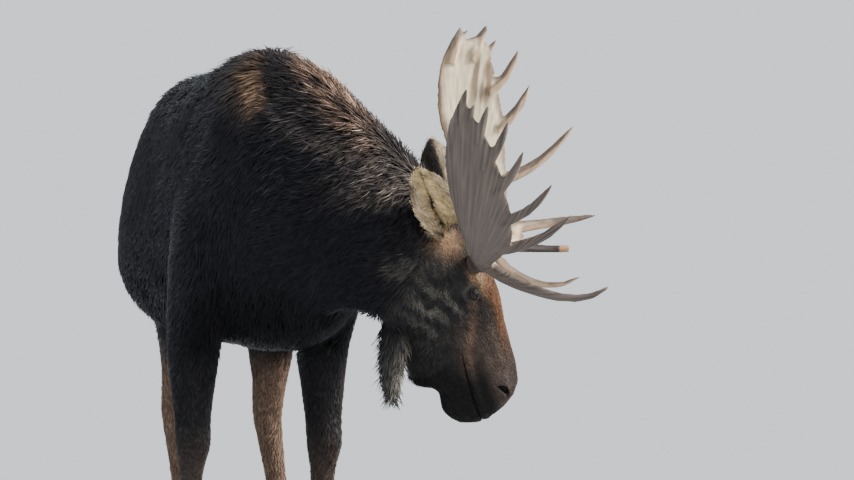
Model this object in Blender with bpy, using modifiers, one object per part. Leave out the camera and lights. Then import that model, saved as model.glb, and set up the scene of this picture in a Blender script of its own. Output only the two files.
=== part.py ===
# A bull moose standing with its neck turned to its left and its head hung low.
# Life size, in metres, Z up. The animal faces -Y and its left side is at +X.
# The flesh is modelled whole and then parted by thin flat cuts.

import math

import bmesh
import bpy
import numpy as np
from mathutils import Matrix, Vector

# Gap left between pieces that meet.
GAP = 0.0003

# Corners of a cut closer than this are made one.
SMALLEST_EDGE = 0.0025

# Sizes of the whole animal.
HUMP_HEIGHT = 1.945
BELLY_HEIGHT = 0.92
RUMP_Y = 1.38
CHEST_Y = -0.40

# Mesh fineness of the flesh and of the antlers.
FLESH_VOXEL = 0.012
FLESH_TRIANGLES = 3500
ANTLER_VOXEL = 0.0055
ANTLER_TRIANGLES = 780

# The head hangs from the poll, with its nose down and its left side turned away.
# Head places below are given along the nose, to its left and up through the brow.
POLL = Vector((0.407, -0.574, 1.304))
NOSEWARD = Vector((0.357, 0.064, -0.932))
HEAD_LEFT = Vector((0.358, 0.912, 0.200))

# Where the head leaves the neck, given from the poll, and the neck the trunk.
POLL_CUT_PLACE = (0.0, 0.0, -0.02)
POLL_CUT_NORMAL = (0.85, 0.0, 0.52)
NECK_PLANE = ((0.0, -0.27, 1.40), (0.35, -0.90, 0.25))

# Heights of the level cuts through the legs.
LEG_CUT = 0.865
KNEE_CUT = 0.50
HOCK_CUT = 0.55
HOOF_TOP = 0.088

EYE_RADIUS = 0.0205
EYE_PLACE = Vector((0.206, 0.1015, 0.034))

COLOURS = {
    "coat": (0.020, 0.014, 0.011),
    "face": (0.050, 0.026, 0.014),
    "ear": (0.200, 0.120, 0.060),
    "leg": (0.060, 0.038, 0.024),
    "antler": (0.330, 0.235, 0.150),
    "hoof": (0.018, 0.015, 0.013),
    "eye": (0.010, 0.006, 0.004),
}


def clear_scene():
    for obj in list(bpy.data.objects):
        bpy.data.objects.remove(obj)


def new_collection(name):
    found = bpy.data.collections.new(name)
    bpy.context.scene.collection.children.link(found)
    return found


def material(name, roughness=0.8, metallic=0.0):
    found = bpy.data.materials.get(name)
    if found:
        return found
    made = bpy.data.materials.new(name)
    made.use_nodes = True
    shader = made.node_tree.nodes["Principled BSDF"]
    shader.inputs["Base Color"].default_value = (*COLOURS[name], 1.0)
    shader.inputs["Roughness"].default_value = roughness
    shader.inputs["Metallic"].default_value = metallic
    return made


def smooth_rows(rows, steps):
    """Rows of sizes along a form, with steps more between each two (Catmull-Rom)."""
    rows = np.array(rows, dtype=float)
    first = 2 * rows[0] - rows[1]
    last = 2 * rows[-1] - rows[-2]
    padded = np.vstack([first, rows, last])
    out = []
    for i in range(1, len(padded) - 2):
        before, here, after, beyond = padded[i - 1 : i + 3]
        for k in range(steps):
            t = k / steps
            bend = 2 * here + (after - before) * t
            bend = bend + (2 * before - 5 * here + 4 * after - beyond) * t**2
            bend = bend + (3 * here - before - 3 * after + beyond) * t**3
            out.append(bend / 2)
    out.append(rows[-1])
    return out


def oval(count, wide, up, down, top_power, low_power):
    """An oval section (sideways, upwards), fuller or more pointed as its powers say."""
    points = []
    for i in range(count):
        angle = 2 * math.pi * i / count
        side = math.sin(angle)
        rise = math.cos(angle)
        power = top_power if rise > 0 else low_power
        height = up if rise > 0 else down
        x = math.copysign(abs(side) ** (2 / power), side) * wide
        z = math.copysign(abs(rise) ** (2 / power), rise) * height
        points.append((x, z))
    return points


def loft(rings, name):
    """A closed skin through rings of the same number of points."""
    mesh = bmesh.new()
    rows = [[mesh.verts.new(point) for point in ring] for ring in rings]
    count = len(rows[0])
    for low, high in zip(rows, rows[1:]):
        for i in range(count):
            j = (i + 1) % count
            mesh.faces.new((low[i], low[j], high[j], high[i]))
    mesh.faces.new(rows[0][::-1])
    mesh.faces.new(rows[-1])
    bmesh.ops.recalc_face_normals(mesh, faces=mesh.faces)
    data = bpy.data.meshes.new(name)
    mesh.to_mesh(data)
    mesh.free()
    return data


def swept_loft(name, stations, steps=4, count=20, up=Vector((0, 0, 1))):
    """A loft along a bent path. A station is x, y, z, half width, rise, drop and two powers."""
    rows = smooth_rows(stations, steps)
    places = [Vector(row[:3]) for row in rows]
    rings = []
    for i, row in enumerate(rows):
        ahead = places[min(i + 1, len(places) - 1)]
        behind = places[max(i - 1, 0)]
        along = (ahead - behind).normalized()
        side = along.cross(up).normalized()
        top = side.cross(along).normalized()
        ring = oval(count, *row[3:8])
        rings.append([places[i] + side * x + top * z for x, z in ring])
    return loft(rings, name)


def head_matrix():
    along = NOSEWARD.normalized()
    left = (HEAD_LEFT - along * HEAD_LEFT.dot(along)).normalized()
    brow = along.cross(left)
    turn = Matrix((along, left, brow)).transposed()
    return Matrix.Translation(POLL) @ turn.to_4x4()


HEAD = head_matrix()
TURN = HEAD.to_3x3()


# ---- The flesh: trunk, neck, head and legs, each a loft.

# y, x, height of the widest place, half width, height of the top and of the bottom, powers
TRUNK = [
    (CHEST_Y, 0.00, 1.22, 0.090, 1.44, 1.06, 2.0, 2.0),
    (-0.34, 0.00, 1.24, 0.190, 1.62, 0.99, 2.0, 2.0),
    (-0.22, -0.01, 1.26, 0.275, 1.81, 0.93, 1.9, 2.0),
    (-0.08, -0.01, 1.26, 0.320, 1.925, 0.905, 1.8, 2.1),
    (0.06, -0.01, 1.25, 0.335, HUMP_HEIGHT, 0.905, 1.75, 2.1),
    (0.22, -0.02, 1.24, 0.330, 1.93, 0.915, 1.8, 2.1),
    (0.42, -0.02, 1.23, 0.334, 1.885, BELLY_HEIGHT, 1.8, 2.1),
    (0.65, -0.01, 1.22, 0.342, 1.862, 0.935, 1.75, 2.1),
    (0.85, 0.025, 1.24, 0.325, 1.858, 0.975, 1.9, 2.0),
    (1.02, 0.085, 1.28, 0.280, 1.848, 1.05, 2.3, 2.0),
    (1.16, 0.125, 1.36, 0.240, 1.800, 1.13, 2.2, 2.0),
    (1.28, 0.150, 1.42, 0.195, 1.695, 1.20, 2.0, 2.0),
    (RUMP_Y, 0.160, 1.44, 0.100, 1.54, 1.32, 2.0, 2.0),
]

# x, y, z, half width, rise, drop and powers, from the withers to the poll
NECK = [
    (0.00, -0.02, 1.42, 0.275, 0.505, 0.45, 1.8, 2.0),
    (0.02, -0.20, 1.41, 0.268, 0.480, 0.43, 1.8, 2.0),
    (0.08, -0.35, 1.38, 0.240, 0.385, 0.38, 1.8, 2.0),
    (0.17, -0.45, 1.33, 0.200, 0.305, 0.32, 1.8, 2.0),
    (0.27, -0.51, 1.26, 0.162, 0.240, 0.26, 1.9, 2.0),
    (0.36, -0.545, 1.17, 0.128, 0.180, 0.22, 2.0, 2.0),
    (0.42, -0.56, 1.10, 0.100, 0.13, 0.16, 2.0, 2.0),
]

# nose distance from the poll, height of the widest place, half width, top, bottom and powers
SKULL = [
    (-0.085, -0.05, 0.050, 0.015, -0.12, 2.0, 2.0),
    (-0.05, -0.04, 0.092, 0.045, -0.18, 2.0, 2.0),
    (0.03, -0.04, 0.112, 0.075, -0.235, 2.2, 2.0),
    (0.12, -0.02, 0.116, 0.100, -0.265, 2.4, 1.8),
    (0.20, 0.00, 0.113, 0.112, -0.268, 2.6, 1.7),
    (0.27, -0.01, 0.098, 0.112, -0.268, 2.4, 1.7),
    (0.35, -0.03, 0.080, 0.101, -0.272, 2.2, 1.7),
    (0.43, -0.05, 0.074, 0.097, -0.276, 2.2, 1.7),
    (0.472, -0.05, 0.077, 0.096, -0.268, 2.3, 1.8),
    (0.503, -0.05, 0.082, 0.092, -0.200, 2.4, 1.9),
    (0.56, -0.05, 0.089, 0.080, -0.198, 2.5, 2.1),
    (0.605, -0.06, 0.082, 0.045, -0.190, 2.3, 2.1),
    (0.635, -0.08, 0.060, -0.005, -0.165, 2.1, 2.0),
    (0.652, -0.09, 0.028, -0.050, -0.130, 2.0, 2.0),
]

# sideways from the leg's line, y, z, half width, reach forwards and backwards, powers
FORELEG = [
    (-0.050, 0.02, 1.62, 0.050, 0.10, 0.10, 2.0, 2.0),
    (-0.015, 0.02, 1.42, 0.092, 0.17, 0.17, 2.0, 2.0),
    (0.000, -0.02, 1.24, 0.108, 0.20, 0.20, 2.0, 2.0),
    (0.002, 0.03, 1.06, 0.100, 0.165, 0.175, 2.0, 2.0),
    (0.000, 0.065, 0.94, 0.092, 0.125, 0.14, 2.0, 2.0),
    (0.000, 0.065, 0.80, 0.078, 0.09, 0.10, 2.0, 2.0),
    (0.000, 0.055, 0.67, 0.064, 0.068, 0.072, 2.1, 2.1),
    (0.000, 0.045, 0.58, 0.062, 0.070, 0.066, 2.2, 2.2),
    (0.000, 0.055, 0.50, 0.048, 0.050, 0.056, 2.1, 2.1),
    (0.000, 0.065, 0.38, 0.039, 0.042, 0.048, 2.0, 2.0),
    (0.000, 0.070, 0.25, 0.040, 0.043, 0.052, 2.0, 2.0),
    (0.000, 0.068, 0.18, 0.049, 0.050, 0.060, 2.1, 2.1),
    (0.000, 0.045, 0.12, 0.045, 0.048, 0.052, 2.1, 2.1),
    (0.000, 0.030, 0.075, 0.050, 0.052, 0.052, 2.2, 2.2),
]
HIND_LEG = [
    (-0.050, 1.10, 1.60, 0.070, 0.15, 0.14, 2.0, 2.0),
    (-0.025, 1.07, 1.42, 0.115, 0.26, 0.27, 2.0, 2.0),
    (-0.008, 1.03, 1.24, 0.125, 0.26, 0.30, 2.0, 2.0),
    (0.000, 1.00, 1.07, 0.104, 0.20, 0.26, 2.0, 2.0),
    (0.000, 1.03, 0.92, 0.080, 0.13, 0.175, 2.0, 2.0),
    (0.000, 1.09, 0.78, 0.060, 0.085, 0.110, 2.0, 2.0),
    (0.000, 1.150, 0.66, 0.050, 0.066, 0.088, 2.2, 2.2),
    (0.000, 1.150, 0.57, 0.045, 0.056, 0.070, 2.2, 2.2),
    (0.000, 1.135, 0.44, 0.039, 0.044, 0.052, 2.0, 2.0),
    (0.000, 1.120, 0.28, 0.039, 0.043, 0.052, 2.0, 2.0),
    (0.000, 1.110, 0.19, 0.048, 0.050, 0.060, 2.1, 2.1),
    (0.000, 1.085, 0.12, 0.044, 0.048, 0.052, 2.1, 2.1),
    (0.000, 1.070, 0.075, 0.048, 0.052, 0.052, 2.2, 2.2),
]

# Each leg's line: where its foot stands, and how far the top lies from there (x, y).
LEGS = {
    "fore_right": (FORELEG, (-0.300, 0.02), (0.035, -0.02)),
    "fore_left": (FORELEG, (0.180, -0.01), (0.015, 0.01)),
    "hind_right": (HIND_LEG, (0.075, 0.06), (-0.105, -0.06)),
    "hind_left": (HIND_LEG, (0.355, -0.22), (-0.080, 0.21)),
}
LEG_TOP = 1.45


def leg_path(sizes, foot, lean, side):
    """The leg's stations, leaning from its foot to its top, its outer side at `side`."""
    out = []
    for away, y, z, *rest in sizes:
        rise = min(z / LEG_TOP, 1.0)
        x = foot[0] + side * away + lean[0] * rise
        out.append((x, y + foot[1] + lean[1] * rise, z, *rest))
    return out


def trunk_mesh():
    rings = []
    for y, x, middle, wide, top, low, p, q in smooth_rows(TRUNK, 4):
        ring = oval(32, wide, top - middle, middle - low, p, q)
        rings.append([Vector((x + s, y, middle + h)) for s, h in ring])
    return loft(rings, "trunk")


def skull_mesh():
    rings = []
    for x, middle, wide, top, low, p, q in smooth_rows(SKULL, 4):
        ring = oval(28, wide, top - middle, middle - low, p, q)
        rings.append([HEAD @ Vector((x, s, middle + h)) for s, h in ring])
    return loft(rings, "skull")


def blob_mesh(name, place, radii, turn=(0, 0, 0), around=24):
    """An ellipsoid."""
    mesh = bmesh.new()
    bmesh.ops.create_uvsphere(mesh, u_segments=around, v_segments=around // 2, radius=1.0)
    data = bpy.data.meshes.new(name)
    mesh.to_mesh(data)
    mesh.free()
    scale = Matrix.Diagonal((*radii, 1.0))
    spin = Matrix.Rotation(turn[2], 4, "Z") @ Matrix.Rotation(turn[0], 4, "X")
    spin = spin @ Matrix.Rotation(turn[1], 4, "Y")
    data.transform(Matrix.Translation(place) @ spin @ scale)
    return data


# place, radii and turn of the masses that stand out under the hide
MUSCLES = [
    ((-0.105, 0.00, 1.66), (0.095, 0.15, 0.22), (0.15, 0.10, 0.0)),
    ((0.085, 0.02, 1.66), (0.090, 0.15, 0.21), (0.15, -0.10, 0.0)),
    ((-0.005, 1.02, 1.54), (0.125, 0.20, 0.20), (0.0, 0.0, 0.2)),
    ((0.195, 1.00, 1.53), (0.125, 0.20, 0.20), (0.0, 0.0, 0.1)),
]


# the same for the face, given from the poll for its left side and mirrored
FACE = {
    "brow": ((0.178, 0.082, 0.064), (0.050, 0.030, 0.020)),
    "cheek": ((0.150, 0.062, -0.120), (0.120, 0.056, 0.110)),
    "nostril": ((0.560, 0.056, 0.020), (0.045, 0.038, 0.052)),
    "lip": ((0.600, 0.040, -0.060), (0.040, 0.040, 0.060)),
    "chin": ((0.560, 0.020, -0.165), (0.055, 0.045, 0.036)),
}


def face_meshes():
    out = []
    for name, (place, radii) in FACE.items():
        for sign in (-1, 1):
            made = blob_mesh(name, Vector((place[0], sign * place[1], place[2])), radii)
            made.transform(HEAD)
            out.append(made)
    return out


def whole_flesh():
    """Every fleshy form made one body, then thinned to its share of triangles."""
    shapes = [trunk_mesh(), skull_mesh(), *face_meshes()]
    shapes.append(swept_loft("neck", NECK, count=28))
    for name, (sizes, foot, lean) in LEGS.items():
        side = -1 if "right" in name else 1
        path = leg_path(sizes, foot, lean, side)
        shapes.append(swept_loft(name, path, steps=3, up=Vector((0, -1, 0))))
    for place, radii, turn in MUSCLES:
        shapes.append(blob_mesh("muscle", Vector(place), radii, turn))
    return made_one("flesh", shapes, FLESH_VOXEL, 4, FLESH_TRIANGLES)


def made_one(name, shapes, voxel, smoothing, triangles):
    """Closed shapes united by a voxel remesh, smoothed and thinned."""
    joined = bmesh.new()
    for shape in shapes:
        joined.from_mesh(shape)
        bpy.data.meshes.remove(shape)
    data = bpy.data.meshes.new(name)
    joined.to_mesh(data)
    joined.free()
    obj = bpy.data.objects.new(name, data)
    cutters.objects.link(obj)
    remesh = obj.modifiers.new("union", "REMESH")
    remesh.mode = "VOXEL"
    remesh.voxel_size = voxel
    smooth = obj.modifiers.new("smooth", "SMOOTH")
    smooth.factor = 0.5
    smooth.iterations = smoothing
    thick = evaluated(obj)
    corners = bmesh.new()
    corners.from_mesh(thick)
    bmesh.ops.triangulate(corners, faces=corners.faces)
    corners.to_mesh(thick)
    corners.free()
    obj.modifiers.clear()
    obj.data = thick
    thin = obj.modifiers.new("thin", "DECIMATE")
    thin.ratio = triangles / len(thick.polygons)
    result = evaluated(obj)
    bpy.data.objects.remove(obj)
    return result


def evaluated(obj):
    """The object's mesh with its modifiers applied."""
    graph = bpy.context.evaluated_depsgraph_get()
    return bpy.data.meshes.new_from_object(obj.evaluated_get(graph))


# ---- Cutting and trimming.


def kept_side(data, point, normal, smallest):
    """The part of a closed mesh on the side its normal points to, capped flat."""
    mesh = bmesh.new()
    mesh.from_mesh(data)
    every = mesh.verts[:] + mesh.edges[:] + mesh.faces[:]
    bmesh.ops.bisect_plane(
        mesh, geom=every, dist=1e-6, plane_co=point, plane_no=normal, clear_inner=True
    )
    rim = [vert for vert in mesh.verts if vert.is_boundary]
    bmesh.ops.remove_doubles(mesh, verts=rim, dist=smallest)
    open_edges = [edge for edge in mesh.edges if edge.is_boundary]
    bmesh.ops.holes_fill(mesh, edges=open_edges, sides=0)
    bmesh.ops.triangulate(mesh, faces=[f for f in mesh.faces if len(f.verts) > 3])
    bmesh.ops.dissolve_degenerate(mesh, dist=1e-5, edges=mesh.edges)
    out = bpy.data.meshes.new(data.name)
    mesh.to_mesh(out)
    mesh.free()
    return out


def halves(data, point, normal, smallest=SMALLEST_EDGE):
    """Two closed meshes parted by a flat cut: ahead of the plane, and behind it."""
    point = Vector(point)
    normal = Vector(normal).normalized()
    ahead = kept_side(data, point + normal * GAP / 2, normal, smallest)
    behind = kept_side(data, point - normal * GAP / 2, -normal, smallest)
    return ahead, behind


def loose_bodies(data):
    """The separate closed bodies of a mesh, largest first."""
    mesh = bmesh.new()
    mesh.from_mesh(data)
    bodies = []
    for start in mesh.verts:
        if start.tag:
            continue
        start.tag = True
        group = [start]
        for vert in group:
            for edge in vert.link_edges:
                beyond = edge.other_vert(vert)
                if not beyond.tag:
                    beyond.tag = True
                    group.append(beyond)
        bodies.append([vert.index for vert in group])
    mesh.free()
    out = []
    for body in sorted(bodies, key=len, reverse=True):
        one = bmesh.new()
        one.from_mesh(data)
        one.verts.ensure_lookup_table()
        keep = set(body)
        drop = [v for v in one.verts if v.index not in keep]
        bmesh.ops.delete(one, geom=drop, context="VERTS")
        piece = bpy.data.meshes.new(data.name)
        one.to_mesh(piece)
        one.free()
        out.append(piece)
    return out


def grown(data, distance):
    """A copy with its surface moved outwards."""
    mesh = bmesh.new()
    mesh.from_mesh(data)
    mesh.normal_update()
    moves = [vert.normal * distance for vert in mesh.verts]
    for vert, move in zip(mesh.verts, moves):
        vert.co += move
    out = bpy.data.meshes.new(data.name + "_grown")
    mesh.to_mesh(out)
    mesh.free()
    return out


def cut_by(data, other, distance=GAP):
    """The mesh less another one and a gap round it; its largest body."""
    obj = bpy.data.objects.new(data.name, data)
    tool = bpy.data.objects.new(other.name + "_tool", grown(other, distance))
    for item in (obj, tool):
        cutters.objects.link(item)
    cut = obj.modifiers.new("trim", "BOOLEAN")
    cut.operation = "DIFFERENCE"
    cut.solver = "EXACT"
    cut.object = tool
    result = evaluated(obj)
    bpy.data.objects.remove(obj)
    bpy.data.objects.remove(tool)
    mesh = bmesh.new()
    mesh.from_mesh(result)
    bmesh.ops.triangulate(mesh, faces=mesh.faces)
    bmesh.ops.dissolve_degenerate(mesh, dist=1e-5, edges=mesh.edges)
    mesh.to_mesh(result)
    mesh.free()
    return loose_bodies(result)[0]


def add(name, data, look, roughness=0.8):
    """Puts a finished sub-part in the moose's collection."""
    data.name = name
    obj = bpy.data.objects.new(name, data)
    data.materials.clear()
    data.materials.append(material(look, roughness))
    data.shade_smooth()
    data.set_sharp_from_angle(angle=math.radians(40))
    parts.objects.link(obj)
    return obj


# ---- Ears, eyes, bell, tail and hooves.

# share of the ear's length, half width, how far its sides curl round, thickness
EAR = [
    (0.00, 0.040, 130, 0.013),
    (0.14, 0.062, 105, 0.012),
    (0.35, 0.080, 80, 0.010),
    (0.60, 0.076, 65, 0.009),
    (0.82, 0.052, 55, 0.008),
    (1.00, 0.012, 50, 0.006),
]
EAR_POINTS = 8
EAR_ROOT = Vector((-0.035, 0.080, 0.040))
EAR_TIP = {-1: Vector((-0.290, 0.235, 0.000)), 1: Vector((-0.285, 0.240, 0.036))}


def ear_mesh(side):
    """A cupped leaf whose open face looks outwards."""
    root = Vector(EAR_ROOT)
    tip = EAR_TIP[side].copy()
    root.y *= side
    tip.y *= side
    along = (tip - root).normalized()
    out = Vector((0.45, side, -0.05))
    out = (out - along * out.dot(along)).normalized()
    across = along.cross(out)
    rings = []
    for share, wide, curl, thick in smooth_rows(EAR, 2):
        centre = root.lerp(tip, share) + out * 0.012 * math.sin(math.pi * share)
        reach = math.radians(curl)
        radius = wide / math.sin(min(reach, math.pi / 2))
        outer = []
        inner = []
        for i in range(EAR_POINTS):
            turn = 2 * i / (EAR_POINTS - 1) - 1
            angle = reach * turn
            rim = 1.0 - 0.45 * abs(turn) ** 3
            for row, r in ((outer, radius), (inner, radius - thick * rim)):
                back = radius * 0.5 - r * math.cos(angle)
                row.append(centre + across * r * math.sin(angle) + out * back)
        rings.append([HEAD @ p for p in outer + inner[::-1]])
    return loft(rings, "ear")


def eye_mesh(side):
    mesh = bmesh.new()
    bmesh.ops.create_icosphere(mesh, subdivisions=2, radius=EYE_RADIUS)
    data = bpy.data.meshes.new("eye")
    mesh.to_mesh(data)
    mesh.free()
    place = Vector((EYE_PLACE.x, side * EYE_PLACE.y, EYE_PLACE.z))
    data.transform(Matrix.Translation(HEAD @ place))
    return data


# The bell, the flap of skin and hair that hangs from the throat.
BELL = [
    (0.262, -0.505, 1.060, 0.020, 0.060, 0.050, 2.0, 2.0),
    (0.250, -0.505, 1.000, 0.026, 0.058, 0.052, 2.0, 2.0),
    (0.238, -0.507, 0.920, 0.026, 0.052, 0.046, 2.0, 2.0),
    (0.234, -0.508, 0.840, 0.023, 0.044, 0.040, 2.0, 2.0),
    (0.234, -0.510, 0.770, 0.017, 0.032, 0.028, 2.0, 2.0),
    (0.236, -0.510, 0.725, 0.007, 0.012, 0.010, 2.0, 2.0),
]

TAIL = [
    (0.150, 1.330, 1.500, 0.034, 0.030, 0.030, 2.0, 2.0),
    (0.152, 1.378, 1.475, 0.036, 0.026, 0.026, 2.0, 2.0),
    (0.153, 1.402, 1.425, 0.030, 0.020, 0.020, 2.0, 2.0),
    (0.153, 1.408, 1.380, 0.012, 0.010, 0.010, 2.0, 2.0),
]

# A claw of the hoof: height, length, width, how far its middle lies behind its toe
CLAW = [
    (0.000, 0.152, 0.0505, 0.0),
    (0.012, 0.150, 0.0500, 0.0),
    (0.045, 0.132, 0.0480, 0.010),
    (0.075, 0.108, 0.0450, 0.022),
    (HOOF_TOP, 0.098, 0.0430, 0.027),
]
CLAW_POINTS = 12
CLAW_SPREAD = 0.0265
TOE_REACH = 0.105


def claw_mesh(x, y, outer):
    """One claw, its toe pointing forwards, straight where it faces its twin."""
    rings = []
    for height, length, width, back in CLAW:
        ring = []
        for i in range(CLAW_POINTS):
            angle = 2 * math.pi * i / CLAW_POINTS
            along = -math.cos(angle)
            wide = math.sin(angle) * (1.0 - 0.38 * max(-along, 0) ** 2)
            wide *= 1.0 if wide * outer > 0 else 0.86
            place_y = y - TOE_REACH + back + length / 2 + along * length / 2
            ring.append(Vector((x + outer * CLAW_SPREAD + wide * width / 2, place_y, height)))
        rings.append(ring)
    return loft(rings, "claw")


def dewclaw_mesh(x, y, outer, z=0.135):
    """A small cone behind the pastern, pointing down and back."""
    made = blob_mesh("dewclaw", Vector((0, 0, 0)), (0.013, 0.015, 0.026), around=8)
    turn = Matrix.Rotation(math.radians(28), 4, "X")
    made.transform(Matrix.Translation((x + outer * 0.024, y, z)) @ turn)
    return made


# ---- The antlers, given along the nose (x) and up through the brow (z).

# x, smooth edge and tined rim of the palm, how far out the edge lies, thickness
PALM = {
    "right": [
        (0.100, 0.085, 0.140, 0.205, 0.036),
        (0.070, 0.082, 0.185, 0.270, 0.030),
        (0.020, 0.080, 0.240, 0.330, 0.024),
        (-0.060, 0.086, 0.268, 0.390, 0.019),
        (-0.170, 0.092, 0.284, 0.435, 0.016),
        (-0.280, 0.106, 0.288, 0.455, 0.015),
        (-0.380, 0.136, 0.280, 0.462, 0.014),
        (-0.450, 0.172, 0.262, 0.460, 0.013),
        (-0.490, 0.210, 0.252, 0.455, 0.012),
    ],
    "left": [
        (0.100, 0.085, 0.140, 0.205, 0.036),
        (0.070, 0.075, 0.180, 0.270, 0.030),
        (0.010, 0.068, 0.215, 0.335, 0.024),
        (-0.080, 0.066, 0.238, 0.395, 0.019),
        (-0.200, 0.066, 0.272, 0.435, 0.016),
        (-0.320, 0.068, 0.290, 0.455, 0.015),
        (-0.420, 0.098, 0.300, 0.462, 0.014),
        (-0.490, 0.134, 0.305, 0.460, 0.013),
        (-0.535, 0.180, 0.285, 0.455, 0.012),
    ],
}
PALM_LEAN = 0.46
PALM_CUP = 0.75

# A tine's root and tip (x, z), its root's radius, and how far it bows towards the nose
TINES = {
    "right": [
        (-0.440, 0.200, -0.547, 0.268, 0.020, 0.000),
        (-0.420, 0.225, -0.492, 0.280, 0.013, 0.000),
        (-0.360, 0.240, -0.476, 0.320, 0.019, 0.004),
        (-0.275, 0.235, -0.412, 0.374, 0.021, 0.016),
        (-0.185, 0.240, -0.300, 0.390, 0.021, 0.022),
        (-0.070, 0.225, -0.155, 0.444, 0.020, 0.026),
        (0.035, 0.180, -0.022, 0.470, 0.022, 0.030),
    ],
    "left": [
        (-0.480, 0.160, -0.586, 0.239, 0.024, 0.000),
        (-0.530, 0.200, -0.570, 0.264, 0.010, 0.000),
        (-0.460, 0.230, -0.560, 0.327, 0.022, 0.000),
        (-0.430, 0.250, -0.500, 0.340, 0.013, 0.004),
        (-0.335, 0.250, -0.445, 0.405, 0.021, 0.026),
        (-0.200, 0.240, -0.315, 0.404, 0.021, 0.020),
        (-0.040, 0.190, -0.143, 0.512, 0.022, 0.034),
    ],
}

# The brow branch: paths (x, out, z, radius) of its tines from the beam
BROW = {
    "right": [
        [
            (0.095, 0.200, 0.115, 0.026),
            (0.150, 0.270, 0.170, 0.022),
            (0.205, 0.340, 0.255, 0.019),
            (0.252, 0.375, 0.340, 0.015),
            (0.276, 0.380, 0.430, 0.012),
            (0.265, 0.370, 0.509, 0.005),
        ],
    ],
    "left": [
        [
            (0.100, 0.210, 0.110, 0.026),
            (0.115, 0.330, 0.200, 0.022),
            (0.145, 0.400, 0.290, 0.018),
            (0.170, 0.440, 0.390, 0.014),
            (0.187, 0.455, 0.490, 0.005),
        ],
        [
            (0.115, 0.200, 0.115, 0.026),
            (0.150, 0.260, 0.165, 0.030),
            (0.150, 0.330, 0.215, 0.022),
        ],
        [
            (0.110, 0.210, 0.110, 0.024),
            (0.165, 0.250, 0.190, 0.017),
            (0.210, 0.290, 0.285, 0.014),
            (0.239, 0.310, 0.365, 0.013),
        ],
        [
            (0.110, 0.190, 0.105, 0.024),
            (0.225, 0.230, 0.145, 0.018),
            (0.305, 0.250, 0.220, 0.014),
            (0.338, 0.255, 0.300, 0.010),
            (0.330, 0.250, 0.385, 0.005),
        ],
    ],
}
BEAM = [
    (0.110, 0.055, 0.060, 0.033),
    (0.108, 0.088, 0.075, 0.032),
    (0.107, 0.110, 0.084, 0.028),
    (0.103, 0.160, 0.100, 0.027),
    (0.095, 0.215, 0.115, 0.028),
    (0.070, 0.280, 0.130, 0.026),
]
BURR = (0.105, 0.100, 0.079)
BURR_RADII = (0.036, 0.026, 0.036)
BROW_CUT_PLACE = (0.136, 0.0, 0.120)
BROW_CUT_NORMAL = (0.94, 0.0, 0.34)


def palm_out(side, x, z):
    """How far out from the head the palm lies: it leans outwards and cups back in."""
    rows = PALM[side]
    places = [row[0] for row in rows][::-1]
    edge = np.interp(x, places, [row[3] for row in rows][::-1])
    low = np.interp(x, places, [row[1] for row in rows][::-1])
    rise = z - low
    return float(edge + PALM_LEAN * rise - PALM_CUP * rise * rise)


def palm_mesh(side, sign):
    rings = []
    for x, low, rim, _, thick in smooth_rows(PALM[side], 4):
        outer = []
        inner = []
        for i in range(11):
            share = i / 10
            z = low + (rim - low) * share
            half = thick / 2 * (1 - (2 * share - 1) ** 6) ** 0.5 + 0.002
            y = palm_out(side, x, z)
            outer.append(HEAD @ Vector((x, sign * (y + half), z)))
            inner.append(HEAD @ Vector((x, sign * (y - half), z)))
        rings.append(outer + inner[::-1])
    return loft(rings, "palm")


def rod_mesh(name, path):
    """A tapered round rod: a bevelled curve with closed ends, made a mesh."""
    curve = bpy.data.curves.new(name, "CURVE")
    curve.dimensions = "3D"
    curve.bevel_depth = 1.0
    curve.bevel_resolution = 2
    curve.use_fill_caps = True
    line = curve.splines.new("POLY")
    rows = smooth_rows(path, 4)
    line.points.add(len(rows) - 1)
    for point, row in zip(line.points, rows):
        point.co = (*(HEAD @ Vector(row[:3])), 1.0)
        point.radius = row[3]
    obj = bpy.data.objects.new(name, curve)
    cutters.objects.link(obj)
    data = evaluated(obj)
    bpy.data.objects.remove(obj)
    bpy.data.curves.remove(curve)
    mesh = bmesh.new()
    mesh.from_mesh(data)
    bmesh.ops.remove_doubles(mesh, verts=mesh.verts, dist=1e-5)
    mesh.to_mesh(data)
    mesh.free()
    return data


def tine_path(side, sign, tine):
    """A tine's line over the palm's cupped surface, bowed towards the nose."""
    root_x, root_z, tip_x, tip_z, radius, bow = tine
    path = []
    for i in range(5):
        share = i / 4
        x = root_x + (tip_x - root_x) * share + bow * math.sin(math.pi * share)
        z = root_z + (tip_z - root_z) * share
        taper = radius * (1 - share) ** 0.6 + 0.0045 * share
        path.append((x, sign * palm_out(side, x, z), z, taper))
    return path


def antler_mesh(side):
    sign = -1 if side == "right" else 1
    shapes = [palm_mesh(side, sign)]
    for tine in TINES[side]:
        shapes.append(rod_mesh("tine", tine_path(side, sign, tine)))
    for path in BROW[side] + [BEAM]:
        turned = [(x, sign * y, z, radius) for x, y, z, radius in path]
        shapes.append(rod_mesh("branch", turned))
    burr = Vector((BURR[0], sign * BURR[1], BURR[2]))
    shapes.append(blob_mesh("burr", HEAD @ burr, BURR_RADII))
    return made_one("antler", shapes, ANTLER_VOXEL, 2, ANTLER_TRIANGLES)


# ---- The whole animal.


def part_legs(below):
    """The four lower legs, each parted at the knee or hock and above the hoof."""
    for body in loose_bodies(below):
        centre = sum((v.co for v in body.vertices), Vector()) / len(body.vertices)
        end = "hind" if centre.y > 0.5 else "fore"
        middle = 0.12 if end == "hind" else -0.035
        side = "right" if centre.x < middle else "left"
        joint = HOCK_CUT if end == "hind" else KNEE_CUT
        upper, rest = halves(body, (0, 0, joint), (0, 0, 1))
        shank, _ = halves(rest, (0, 0, HOOF_TOP), (0, 0, 1))
        add(f"leg_{end}_{side}_upper", upper, "coat")
        add_foot(end, side, shank)


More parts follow.
